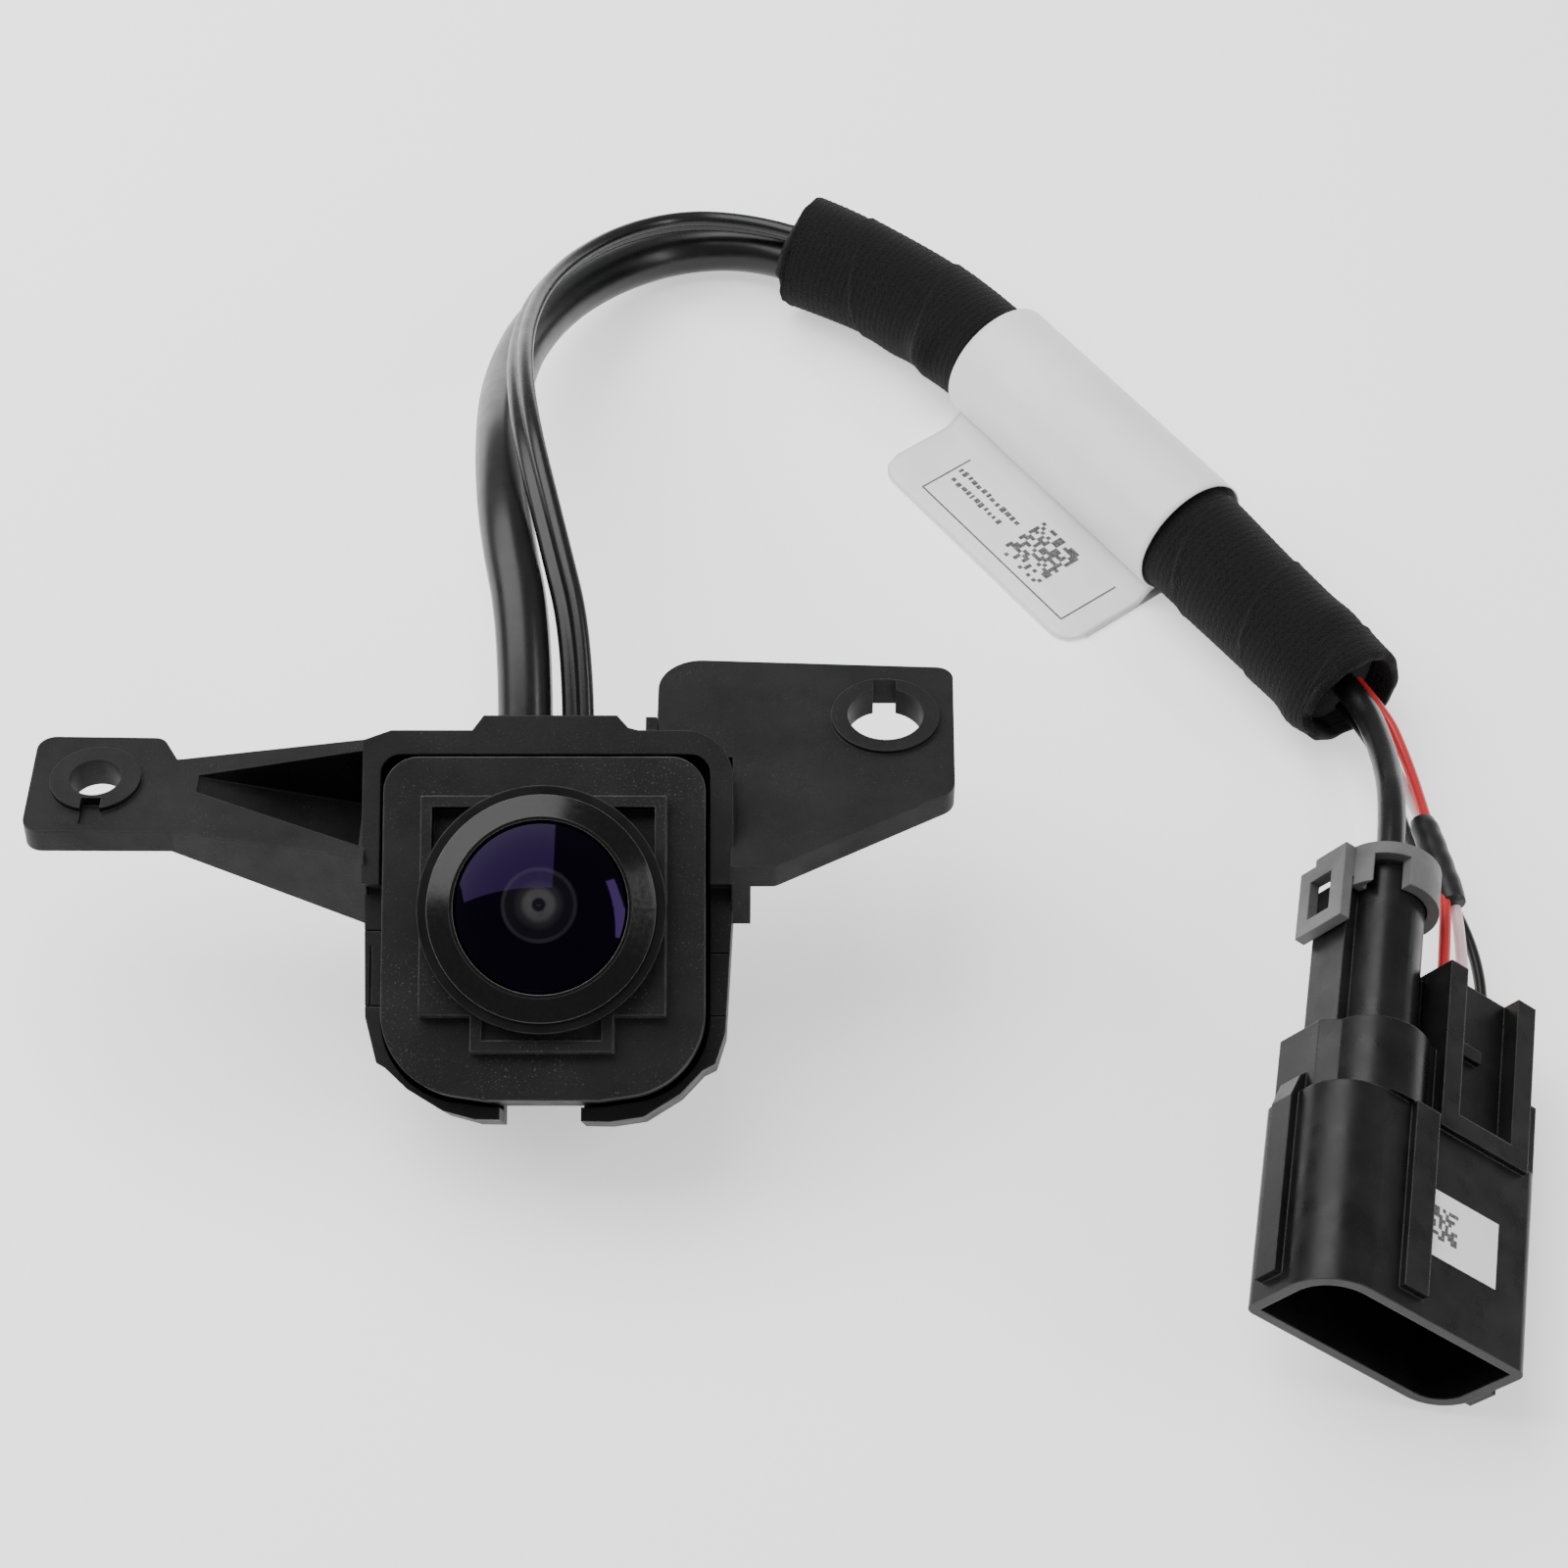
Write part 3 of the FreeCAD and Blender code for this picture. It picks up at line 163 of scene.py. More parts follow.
def add_camera():
    target = Vector((0.0236, 0.01676, 0.008))
    elevation = math.radians(52)
    distance = 0.320
    data = bpy.data.cameras.new("camera")
    data.lens = 85
    data.sensor_width = 36
    data.clip_start = 0.01
    camera = bpy.data.objects.new("camera", data)
    bpy.context.scene.collection.objects.link(camera)
    camera.location = target + Vector((0, -math.cos(elevation), math.sin(elevation))) * distance
    camera.rotation_euler = (math.radians(90) - elevation, 0, 0)
    bpy.context.scene.camera = camera


def add_panel(name, place, aim, width, height, power, spin=0.0):
    """A softbox at place that faces aim, turned by spin about the line between them."""
    data = bpy.data.lights.new(name, "AREA")
    data.shape = "RECTANGLE"
    data.size = width
    data.size_y = height
    data.energy = power
    light = bpy.data.objects.new(name, data)
    bpy.context.scene.collection.objects.link(light)
    light.location = place
    facing = (Vector(place) - Vector(aim)).to_track_quat("Z", "Y")
    light.rotation_euler = (facing @ Quaternion((0, 0, 1), spin)).to_euler()


def add_lights():
    """Even white surroundings, a softbox that looks straight down and a strip at the right."""
    world = bpy.data.worlds.new("world")
    world.use_nodes = True
    background = world.node_tree.nodes["Background"]
    background.inputs["Color"].default_value = (1, 1, 1, 1)
    background.inputs["Strength"].default_value = WORLD_STRENGTH
    bpy.context.scene.world = world
    below = UNIT_MIDDLE + SOFTBOX_ASIDE
    add_panel("overhead_softbox", below + SOFTBOX_ABOVE, below, width=0.85, height=0.51, power=6.5)
    add_panel("right_strip", UNIT_MIDDLE + STRIP_OFFSET, UNIT_MIDDLE, width=0.07, height=0.36, power=0.8,
              spin=math.radians(-48))


def add_floor():
    """A wide sheet of white paper that gives off some light of its own."""
    mesh = bpy.data.meshes.new("floor")
    reach = 3.0
    mesh.from_pydata([(-reach, -reach, 0), (reach, -reach, 0), (reach, reach, 0), (-reach, reach, 0)],
                     [], [(0, 1, 2, 3)])
    floor = bpy.data.objects.new("floor", mesh)
    bpy.context.scene.collection.objects.link(floor)
    paint = Paint("floor_paper")
    paint.set("Base Color", (0.92, 0.92, 0.92, 1))
    paint.set("Roughness", 0.9)
    paint.set("Emission Color", (1, 1, 1, 1))
    paint.set("Emission Strength", FLOOR_GLOW)
    mesh.materials.append(paint.material)


# ---------------------------------------------------------------- material helpers

class Paint:
    """A node material under construction, with one Principled shader."""

    def __init__(self, name):
        self.material = bpy.data.materials.new(name)
        self.material.use_nodes = True
        self.tree = self.material.node_tree
        self.shader = self.tree.nodes["Principled BSDF"]
        self.place = None

    def set(self, socket, source):
        """Links an output to a socket of the shader, or sets a plain value there."""
        self.plug(source, self.shader, socket)

    def node(self, kind, **settings):
        made = self.tree.nodes.new("ShaderNode" + kind)
        for key, value in settings.items():
            setattr(made, key, value)
        return made

    def plug(self, source, node, socket):
        """Links an output, or sets a plain value."""
        if isinstance(source, bpy.types.NodeSocket):
            self.tree.links.new(source, node.inputs[socket])
        else:
            node.inputs[socket].default_value = source

    def position(self):
        """The object's own coordinates, one node for the whole material."""
        if self.place is None:
            self.place = self.node("TexCoord").outputs["Object"]
        return self.place

    def noise(self, scale, detail=3.0, rough=0.55, vector=None):
        made = self.node("TexNoise")
        self.plug(vector or self.position(), made, "Vector")
        self.plug(scale, made, "Scale")
        self.plug(detail, made, "Detail")
        self.plug(rough, made, "Roughness")
        return made.outputs["Fac"]

    def cells(self, scale):
        """Distance from the middle of the nearest of many scattered cells."""
        made = self.node("TexVoronoi")
        self.plug(self.position(), made, "Vector")
        self.plug(scale, made, "Scale")
        return made.outputs["Distance"]

    def ramp(self, source, low, high, before=0.0, after=1.0):
        """Turns source from low to high into before to after, held outside."""
        made = self.node("MapRange")
        self.plug(source, made, "Value")
        for socket, value in (("From Min", low), ("From Max", high), ("To Min", before), ("To Max", after)):
            self.plug(value, made, socket)
        return made.outputs["Result"]

    def cloud(self, scale, detail, low=0.3, high=0.7, before=0.0, after=1.0):
        """Noise whose low to high is turned into before to after."""
        return self.ramp(self.noise(scale, detail), low, high, before, after)

    def roughness(self, scale, detail, smoothest, roughest):
        """Roughness that wanders between two values."""
        self.set("Roughness", self.cloud(scale, detail, before=smoothest, after=roughest))

    def math(self, operation, first, second):
        made = self.node("Math", operation=operation)
        self.plug(first, made, 0)
        self.plug(second, made, 1)
        return made.outputs[0]

    def mix(self, amount, first, second):
        made = self.node("Mix", data_type="RGBA")
        self.plug(amount, made, "Factor")
        self.plug(first, made, "A")
        self.plug(second, made, "B")
        return made.outputs["Result"]

    def edge_mask_and_normal(self, radius):
        """How far a point is on an edge, 0 to 1, and the normal with its edges rounded."""
        bevel = self.node("Bevel", samples=4)
        self.plug(radius, bevel, "Radius")
        plain = self.node("NewGeometry").outputs["Normal"]
        compare = self.node("VectorMath", operation="DOT_PRODUCT")
        self.plug(bevel.outputs["Normal"], compare, 0)
        self.plug(plain, compare, 1)
        flat, sharp = 0.995, 0.80
        return self.ramp(compare.outputs["Value"], flat, sharp), bevel.outputs["Normal"]

    def bump(self, height, strength, distance, normal=None):
        """Gives the shader a bump map over its own normal, or over the one given."""
        made = self.node("Bump")
        self.plug(height, made, "Height")
        self.plug(strength, made, "Strength")
        self.plug(distance, made, "Distance")
        if normal is not None:
            self.plug(normal, made, "Normal")
        self.set("Normal", made.outputs["Normal"])


def grey(level):
    """A neutral colour with a trace of blue."""
    return (level, level, level * 1.01, 1)


def shade(colour, factor, lift=0.0):
    """The same colour made lighter or darker."""
    return tuple(min(1, part * factor + lift) for part in colour[:3]) + (1,)


# ---------------------------------------------------------------- finishes

def moulded(name, base, rough=0.5, grain=0.2, dust=0.0, edge=0.35, edge_level=0.10, gloss=0.3):
    """Moulded plastic: mould grain, cloudy tone, pale edges that are partly wear and partly a painted
    highlight, and fine dust specks.
    """
    paint = Paint(name)
    tone = paint.mix(paint.cloud(140, 4, low=0.35), base, shade(base, 1.9, 0.004))
    # Pale edges: partly wear, partly a painted highlight where the rounded edges catch the light.
    pale_mask, soft_normal = paint.edge_mask_and_normal(0.00018)
    edge_strength = paint.cloud(700, 3, high=0.6, before=edge * 0.35, after=edge)
    tone = paint.mix(paint.math("MULTIPLY", pale_mask, edge_strength), tone, grey(edge_level))
    if dust > 0:
        tone = dusted(paint, tone, dust)
    paint.set("Base Color", tone)
    paint.set("Specular IOR Level", gloss)
    paint.roughness(420, 4, rough - 0.07, rough + 0.09)
    waviness = paint.math("MULTIPLY", paint.noise(600, 2), 0.6)
    paint.bump(paint.math("ADD", paint.noise(5200, 3), waviness), grain, GRAIN_DEPTH, soft_normal)
    return paint.material


def dusted(paint, tone, dust):
    """The tone with fine pale specks on it, thicker in patches."""
    speck = paint.ramp(paint.noise(6500, 2, 0.6), 0.62, 0.74)
    patch = paint.cloud(190, 3, 0.42, 0.66, 0.15, 1.0)
    amount = paint.math("MULTIPLY", paint.math("MULTIPLY", speck, patch), dust)
    return paint.mix(amount, tone, grey(0.19))


def vinyl(name, base, rough, scuff=0.5):
    """Extruded vinyl: faint scuffs and a satin gloss."""
    paint = Paint(name)
    scuffs = paint.math("MULTIPLY", paint.cloud(900, 3, 0.4, 0.75), scuff)
    paint.set("Base Color", paint.mix(scuffs, base, shade(base, 1.3, 0.003)))
    paint.roughness(500, 4, rough - 0.03, rough + 0.05)
    paint.bump(paint.noise(2600, 3), 0.06, GRAIN_DEPTH)
    paint.set("Specular IOR Level", 0.36)
    return paint.material


def rubber(name, base):
    """Matt rubber with a cloudy tone and an open grain."""
    paint = Paint(name)
    paint.set("Base Color", paint.mix(paint.cloud(900, 4, low=0.35), base, shade(base, 1.6, 0.006)))
    paint.roughness(1200, 3, 0.54, 0.72)
    paint.bump(paint.noise(4000, 3), 0.3, GRAIN_DEPTH)
    return paint.material


def metal(name, base, rough, brushed=1.0):
    """Metal with fine turning or brushing marks."""
    paint = Paint(name)
    stretch = paint.node("Mapping")
    paint.plug(paint.position(), stretch, "Vector")
    paint.plug((1, 1, 14), stretch, "Scale")
    marks = paint.noise(1500, 4, 0.6, stretch.outputs["Vector"])
    paint.set("Base Color", paint.mix(paint.ramp(marks, 0.3, 0.7), shade(base, 0.72), base))
    paint.set("Metallic", 1.0)
    paint.set("Roughness", paint.ramp(marks, 0.3, 0.7, rough - 0.06, rough + 0.08))
    paint.bump(marks, 0.08 * brushed, 0.00005)
    return paint.material


def clear_glass(name, tint):
    """Clear glass with a trace of its own colour and faint smears."""
    paint = Paint(name)
    paint.set("Base Color", paint.mix(paint.cloud(300, 2), tint, shade(tint, 0.92)))
    paint.set("Roughness", paint.cloud(260, 4, 0.45, 0.75, 0.012, 0.045))
    paint.set("Transmission Weight", 1.0)
    paint.set("IOR", 1.52)
    return paint.material


def distance_from_axis(paint):
    """How far a point lies from the line along which the lens looks."""
    offset = paint.node("VectorMath", operation="SUBTRACT")
    paint.plug(paint.position(), offset, 0)
    paint.plug(UNIT_MIDDLE, offset, 1)
    across = paint.node("VectorMath", operation="CROSS_PRODUCT")
    paint.plug(offset.outputs["Vector"], across, 0)
    paint.plug(LENS_AXIS, across, 1)
    reach = paint.node("VectorMath", operation="LENGTH")
    paint.plug(across.outputs["Vector"], reach, 0)
    return reach.outputs["Value"]


def camera_glass(name, coating):
    """Dark coated lens glass, with pale rings painted at its middle: the iris and inner lenses behind it,
    their grey a painted reflection of the lamps in them.
    """
    paint = Paint(name)
    reach = distance_from_axis(paint)
    tone = GLASS_BLACK
    # Painted reflection: grey rings on the front glass for the inner lenses lit by the lamps.
    for outer, inner, level in INNER_REFLECTION_RINGS:
        tone = paint.mix(paint.ramp(reach, inner, outer, 1.0, 0.0), tone, grey(level))
    haze = paint.cloud(500, 3, 0.35, 0.7, 0.0, 0.3)
    paint.set("Base Color", paint.mix(haze, tone, GLASS_BLACK))
    paint.set("Roughness", paint.cloud(260, 4, 0.45, 0.75, 0.04, 0.07))
    paint.set("Specular Tint", coating)
    paint.set("Specular IOR Level", 0.19)
    return paint.material


def anodised(name, level, rough):
    """Black anodised metal: a dark satin skin, paler on its edges, partly wear and partly a painted
    highlight.
    """
    paint = Paint(name)
    marks = paint.noise(2600, 3)
    skin = paint.mix(paint.ramp(marks, 0.3, 0.7), grey(level * 0.8), grey(level * 1.3))
    # Pale edges: partly wear, partly a painted highlight on the chamfered edges.
    pale_mask, soft_normal = paint.edge_mask_and_normal(0.00010)
    paint.set("Base Color", paint.mix(paint.math("MULTIPLY", pale_mask, 0.8), skin, grey(0.30)))
    paint.set("Specular IOR Level", 0.26)
    paint.set("Roughness", paint.ramp(marks, 0.3, 0.7, rough - 0.05, rough + 0.05))
    paint.bump(marks, 0.05, 0.00003, soft_normal)
    return paint.material


def ribbed_cloth(name, level):
    """Fuzzy woven harness tape; the ribs themselves are in the mesh."""
    paint = Paint(name)
    thread = paint.ramp(paint.cells(5200), 0.1, 0.6)
    tone = paint.mix(thread, grey(level * 0.55), grey(level * 1.35))
    worn_patch = paint.cloud(260, 3, 0.45, 0.72, 0.1, 0.8)
    lint = paint.ramp(paint.noise(5200, 2, 0.7), 0.64, 0.76, 0.0, 0.5)
    paint.set("Base Color", paint.mix(paint.math("MULTIPLY", lint, worn_patch), tone, grey(0.07)))
    paint.set("Roughness", 0.95)
    paint.set("Specular IOR Level", 0.12)
    paint.set("Sheen Weight", 0.05)
    paint.set("Sheen Roughness", 0.5)
    paint.bump(thread, 0.6, 0.00012)
    return paint.material


def label_film(name):
    """White satin label film, slightly uneven in tone and surface."""
    paint = Paint(name)
    paint.set("Base Color", paint.mix(paint.cloud(120, 3), grey(0.80), grey(0.86)))
    paint.roughness(600, 3, 0.34, 0.5)
    paint.bump(paint.noise(500, 3), 0.08, 0.0001)
    return paint.material


def printed_ink(name):
    """Dark print, a little worn, as fine speckle in its tone."""
    paint = Paint(name)
    pale_mask = paint.ramp(paint.noise(7000, 3, 0.7), 0.5, 0.72, 0.0, 0.7)
    paint.set("Base Color", paint.mix(pale_mask, grey(0.05), grey(0.42)))
    paint.roughness(900, 2, 0.45, 0.6)
    return paint.material


def circuit(name):
    """Green solder mask with small lighter dots, like its plated holes."""
    paint = Paint(name)
    dots = paint.ramp(paint.cells(900), 0.05, 0.09)
    paint.set("Base Color", paint.mix(dots, (0.05, 0.30, 0.12, 1), (0.01, 0.10, 0.04, 1)))
    paint.roughness(800, 3, 0.25, 0.4)
    paint.bump(dots, 0.2, 0.00003)
    return paint.material


def slot_finishes():
    """The finish of each material slot that a CAD node shows."""
    return {
        "cover_plastic": moulded("cover_plastic", grey(0.0042), rough=0.56, grain=0.35, dust=0.5,
                                 edge=0.8, edge_level=0.15, gloss=0.2),
        "bracket_plastic": moulded("bracket_plastic", grey(0.0036), rough=0.50, grain=0.30, dust=0.2,
                                   edge=0.6, edge_level=0.07, gloss=0.2),
        "barrel_plastic": moulded("barrel_plastic", grey(0.0015), rough=0.34, grain=0.08, edge=0.8,
                                  gloss=0.14),
        "plug_plastic": moulded("plug_plastic", grey(0.0030), rough=0.30, grain=0.10, dust=0.06,
                                edge=0.6, edge_level=0.08, gloss=0.26),
        "clip_grey": moulded("clip_grey", grey(0.082), dust=0.1, edge=0.3, edge_level=0.18),
        "lock_plastic": moulded("lock_plastic", (0.12, 0.03, 0.16, 1), rough=0.45),
        "header_plastic": moulded("header_plastic", (0.62, 0.58, 0.46, 1)),
        "bezel_metal": anodised("bezel_metal", 0.002, rough=0.20),
        "lens_glass": camera_glass("lens_glass", coating=(0.26, 0.12, 0.62, 1)),
        "filter_glass": clear_glass("filter_glass", (0.55, 0.85, 0.9, 1)),
        "seal_rubber": rubber("seal_rubber", (0.010, 0.010, 0.010, 1)),
        "seal_orange": rubber("seal_orange", (0.42, 0.12, 0.03, 1)),
        "board_green": circuit("board_green"),
        "sensor_dark": metal("sensor_dark", (0.10, 0.09, 0.16, 1), rough=0.18, brushed=0.3),
        "steel": metal("steel", (0.60, 0.60, 0.58, 1), rough=0.35),
        "contact_brass": metal("contact_brass", (0.72, 0.58, 0.30, 1), rough=0.28),
        "label_paper": label_film("label_paper"),
    }


def dress_nodes(finishes):
    """Every CAD node that stays visible gets the finish of its slot; the inner lenses get their own."""
    inner_glass = clear_glass("inner_glass", (0.8, 0.85, 0.82, 1))
    special = {"second_lens": inner_glass, "third_lens": inner_glass}
    for node, item in NODES.items():
        finish = special.get(node) or finishes.get(SLOTS[node])
        if finish is not None:
            for place in item.material_slots:
                place.material = finish


# ---------------------------------------------------------------- mesh helpers

def new_piece(name, vertices, faces, material, smooth=True):
    mesh = bpy.data.meshes.new(name)
    mesh.from_pydata(vertices, [], faces)
    mesh.validate()
    mesh.polygons.foreach_set("use_smooth", [smooth] * len(mesh.polygons))
    mesh.materials.append(material)
    piece = bpy.data.objects.new(name, mesh)
    bpy.context.scene.collection.objects.link(piece)
    return piece


def spline(name, route, steps):
    """An open NURBS curve with the route's points as its control points."""
    data = bpy.data.curves.new(name, "CURVE")
    data.dimensions = "3D"
    line = data.splines.new("NURBS")
    line.points.add(len(route) - 1)
    for point, place in zip(line.points, route):
        point.co = (*place, 1)
    line.order_u = 3
    line.use_endpoint_u = True
    line.resolution_u = steps
    piece = bpy.data.objects.new(name, data)
    bpy.context.scene.collection.objects.link(piece)
    return piece


def centreline(route):
    """Points along the route's NURBS curve."""
    guide = spline("guide", route, steps=24)
    mesh = bpy.data.meshes.new_from_object(guide)
    points = [vertex.co.copy() for vertex in mesh.vertices]
    bpy.data.meshes.remove(mesh)
    bpy.data.objects.remove(guide)
    return points


def line_length(points):
    return sum((after - before).length for before, after in zip(points, points[1:]))


def resampled(points, gap):
    """The same line with points evenly spaced, close to gap apart."""
    length = line_length(points)
    count = max(2, round(length / gap))
    out, walked, index = [], 0.0, 0
    for number in range(count + 1):
        goal = length * number / count
        while index < len(points) - 2 and walked + (points[index + 1] - points[index]).length < goal:
            walked += (points[index + 1] - points[index]).length
            index += 1
        step = points[index + 1] - points[index]
        out.append(points[index] + step * min(1, max(0, (goal - walked) / step.length)))
    return out


def frames_along(points):
    """(point, side, up, distance) along a line, carried along without twist."""
    made, walked, up = [], 0.0, UPWARDS
    for number, point in enumerate(points):
        ahead = points[min(number + 1, len(points) - 1)] - points[max(number - 1, 0)]
        ahead.normalize()
        up = (up - ahead * up.dot(ahead)).normalized()
        if number:
            walked += (point - points[number - 1]).length
        made.append((point, ahead.cross(up), up, walked))
    return made


def swept(name, points, section, material, closed=True):
    """A skin along a line. section(distance, length) gives the (side, up) points of its outline."""
    length = line_length(points)
    rows = []
    for point, side, rise, walked in frames_along(points):
        rows.append([point + side * across + rise * high for across, high in section(walked, length)])
    around = len(rows[0])
    vertices = [place for row in rows for place in row]
    faces = []
    for row in range(len(rows) - 1):
        for step in range(around):
            after = (step + 1) % around
            faces.append((row * around + step, (row + 1) * around + step,
                          (row + 1) * around + after, row * around + after))
    if closed:
        faces.append(tuple(range(around)))
        last = (len(rows) - 1) * around
        faces.append(tuple(reversed(range(last, last + around))))
    return new_piece(name, vertices, faces, material)


def round_angles(count):
    """The angles of points spaced evenly round a circle."""
    return [2 * math.pi * step / count for step in range(count)]


def polar(radius, angle):
    return radius * math.cos(angle), radius * math.sin(angle)


def thicken(piece, depth):
    """Gives an open skin a real wall, inwards."""
    wall = piece.modifiers.new("wall", "SOLIDIFY")
    wall.thickness = depth
    wall.offset = -1
    evaluated = piece.evaluated_get(bpy.context.evaluated_depsgraph_get())
    mesh = bpy.data.meshes.new_from_object(evaluated)
    piece.modifiers.clear()
    piece.data = mesh


# ---------------------------------------------------------------- cords

def declare(cord, route):
    """Attaches a piece to the root body; the length of its route is worked out but not used."""
    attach(cord, "root")
    line_length(centreline(route))


def round_cord(name, route, radius, material, node):
    """A round cord along its route, in place of a CAD node."""
    cord = spline(name, route, steps=16)
    cord.data.bevel_depth = radius
    cord.data.bevel_resolution = 6
    cord.data.use_fill_caps = True
    cord.data.materials.append(material)
    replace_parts(cord, node)
    declare(cord, route)


def twin_cord(material):
    """Two bonded cores side by side, with a groove between them."""
    points = resampled(centreline(PAIR_ROUTE), 0.0006)
    core = PAIR_WIDTH / 4 * 1.04
    offset = core * 0.94
    core_steps = 14
    opening = 142
    end_turn, added_turn = 18, 22

    def section(walked, length):
        turn = math.radians(end_turn + added_turn * math.sin(walked / length * math.pi))
        outline = []
        for side in (1, -1):
            for step in range(core_steps):
                angle = math.radians(-opening + 2 * opening * step / (core_steps - 1))
                across = side * (offset + core * math.cos(angle))
                high = side * core * math.sin(angle)
                outline.append((across * math.cos(turn) - high * math.sin(turn),
                                across * math.sin(turn) + high * math.cos(turn)))
        return outline

    cord = swept("power_twin_cord", points, section, material)
    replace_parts(cord, "power_pair")
    declare(cord, PAIR_ROUTE)


def tape_waves():
    """Slow waves of the tape, each (phase, rate along, turns round)."""
    draw = random.Random(7)
    return [(draw.uniform(0, 6.28), draw.uniform(90, 420), number % 4) for number in range(7)]


def tape_overlap(walked, angle):
    """The spiral overlap: each wind starts with a lip and thins out to its end."""
    thickness, lip_height, lip_place, lip_width = 0.00016, 0.00006, 0.03, 0.02
    edge = math.fmod(walked / WIND_PITCH + angle / (2 * math.pi), 1.0)
    return thickness * (1 - edge) + lip_height * math.exp(-((edge - lip_place) / lip_width) ** 2)


def tape_lump(walked, angle):
    """The height of the tape's lumps at a place."""
    lump = 0.0
    for place, side, height, long, wide in TAPE_LUMPS:
        turn = math.atan2(math.sin(angle - side), math.cos(angle - side))
        lump += height * math.exp(-((walked - place) / long) ** 2 - (turn / wide) ** 2)
    return lump


def taped_sleeve(material):
    """Cloth tape wound round the harness: cross ribs, slack folds and open ends."""
    points = resampled(centreline(SLEEVE_ROUTE), 0.00016)
    around = 64
    waves = tape_waves()
    base_radius = SLEEVE_RADIUS - 0.00034
    wave_height, rib_height = 0.00030, 0.00005

    def radius(walked, angle):
        swings = [math.sin(walked * rate + turns * angle + phase) for phase, rate, turns in waves]
        wave = sum(swings) / len(swings)
        drift = 0.6 * math.sin(2 * angle + walked * 240)
        rib = 0.5 + 0.5 * math.cos(2 * math.pi * walked / RIB_PITCH + drift)
        return (base_radius + wave_height * wave + rib_height * rib ** 2
                + tape_overlap(walked, angle) + tape_lump(walked, angle))

    def section(walked, length):
        return [polar(radius(walked, angle), angle) for angle in round_angles(around)]

    sleeve = swept("taped_sleeve", points, section, material, closed=False)
    fray(sleeve, points, around)
    thicken(sleeve, 0.0009)
    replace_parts(sleeve, "harness_sleeve")
    declare(sleeve, SLEEVE_ROUTE)


def fray_depth(angle):
    """How far an open end of the tape is drawn in: a slant with finer waves on it."""
    slant = 0.0006 + 0.0004 * math.sin(angle + 1)
    return slant + 0.0002 * math.sin(3 * angle) + 0.00008 * math.sin(11 * angle)


def fray(sleeve, points, around):
    """Draws the two open ends of the tape inwards unevenly, so that neither is cut square."""
    rows = 15
    for at_end in (False, True):
        inwards = (points[-rows] - points[-1]) if at_end else (points[rows] - points[0])
        inwards.normalize()
        for row in range(rows):
            share = (1 - row / rows) ** 2
            first = (len(points) - 1 - row if at_end else row) * around
            for step, angle in enumerate(round_angles(around)):
                sleeve.data.vertices[first + step].co += inwards * fray_depth(angle) * share


def tape_core(material):
    """Tape wound round the cables inside the sleeve, seen as the lumpy fill of its open ends."""
    inset = 5
    points = resampled(centreline(SLEEVE_ROUTE), 0.0003)[inset:-inset]
    around = 32
    radius = 0.0042
    end_rounding = 0.0016

    def section(walked, length):
        near_end = min(walked, length - walked) / end_rounding
        crown = math.sqrt(max(0.02, 1 - (1 - min(1, near_end)) ** 2))
        outline = []
        for angle in round_angles(around):
            lump = 1 + 0.06 * math.sin(2 * angle + 900 * walked) + 0.04 * math.sin(5 * angle + 1.3)
            outline.append(polar(radius * crown * lump, angle))
        return outline

    core = swept("tape_core", points, section, material)
    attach(core, "root")


def shrink_sleeve(material):
    """Heat-shrink tube drawn down over two wires, pinched at both ends."""
    points = resampled(centreline(SHRINK_ROUTE), 0.00025)
    around = 28
    pinch_reach = 0.07
    flatness = 0.86

    def section(walked, length):
        part = walked / length
        first_pinch = 0.16 * math.exp(-(part / pinch_reach) ** 2)
        second_pinch = 0.14 * math.exp(-((part - 1) / pinch_reach) ** 2)
        swell = (1 - first_pinch - second_pinch) * (1 + 0.02 * math.sin(walked * 2600))
        width = SHRINK_RADIUS * swell
        height = width * flatness
        return [(width * math.cos(angle), height * math.sin(angle)) for angle in round_angles(around)]

    piece = swept("shrink_sleeve", points, section, material)
    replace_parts(piece, "shrink_tube")
    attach(piece, "root")
    return piece


def add_cords():
    """The cables, the tape, the lead and the wires, from the camera to the plug."""
    jacket = vinyl("cable_jacket", (0.005, 0.005, 0.0052, 1), rough=0.30, scuff=0.6)
    round_cord("camera_lead", CABLE_ROUTE, CABLE_RADIUS, jacket, "camera_cable")
    twin_cord(vinyl("twin_jacket", (0.006, 0.006, 0.0062, 1), rough=0.27))
    cloth = ribbed_cloth("tape_cloth", 0.0065)
    taped_sleeve(cloth)
    tape_core(cloth)
    lead_jacket = vinyl("lead_jacket", (0.004, 0.004, 0.0042, 1), rough=0.26)
    round_cord("aerial_lead", LEAD_ROUTE, LEAD_RADIUS, lead_jacket, "signal_lead")
    shrink = shrink_sleeve(vinyl("shrink_skin", (0.009, 0.009, 0.0092, 1), rough=0.40))
    red = vinyl("red_vinyl", (0.56, 0.025, 0.03, 1), rough=0.33, scuff=0.25)
    white = vinyl("white_vinyl", (0.70, 0.52, 0.54, 1), rough=0.33, scuff=0.25)
    black = vinyl("black_vinyl", (0.006, 0.006, 0.006, 1), rough=0.30)
    round_cord("red_core", RED_ROUTE, WIRE_RADIUS, red, "red_wire")
    round_cord("white_core", WHITE_ROUTE, WIRE_RADIUS, white, "white_wire")
    round_cord("black_core", BLACK_ROUTE, WIRE_RADIUS, black, "black_wire")


# ---------------------------------------------------------------- labels and print

def code_square(left, low, side, cells, seed):
    """A generic square of random printed cells, as marks for add_print."""
    draw = random.Random(seed)
    filled = 0.52
    step = side / cells
    cell = step * 0.98
    marks = []
    for row in range(cells):
        for column in range(cells):
            if draw.random() < filled:
                x, y = left + column * step, low + row * step
                marks.append((x, x + cell, y, y + cell))
    return marks


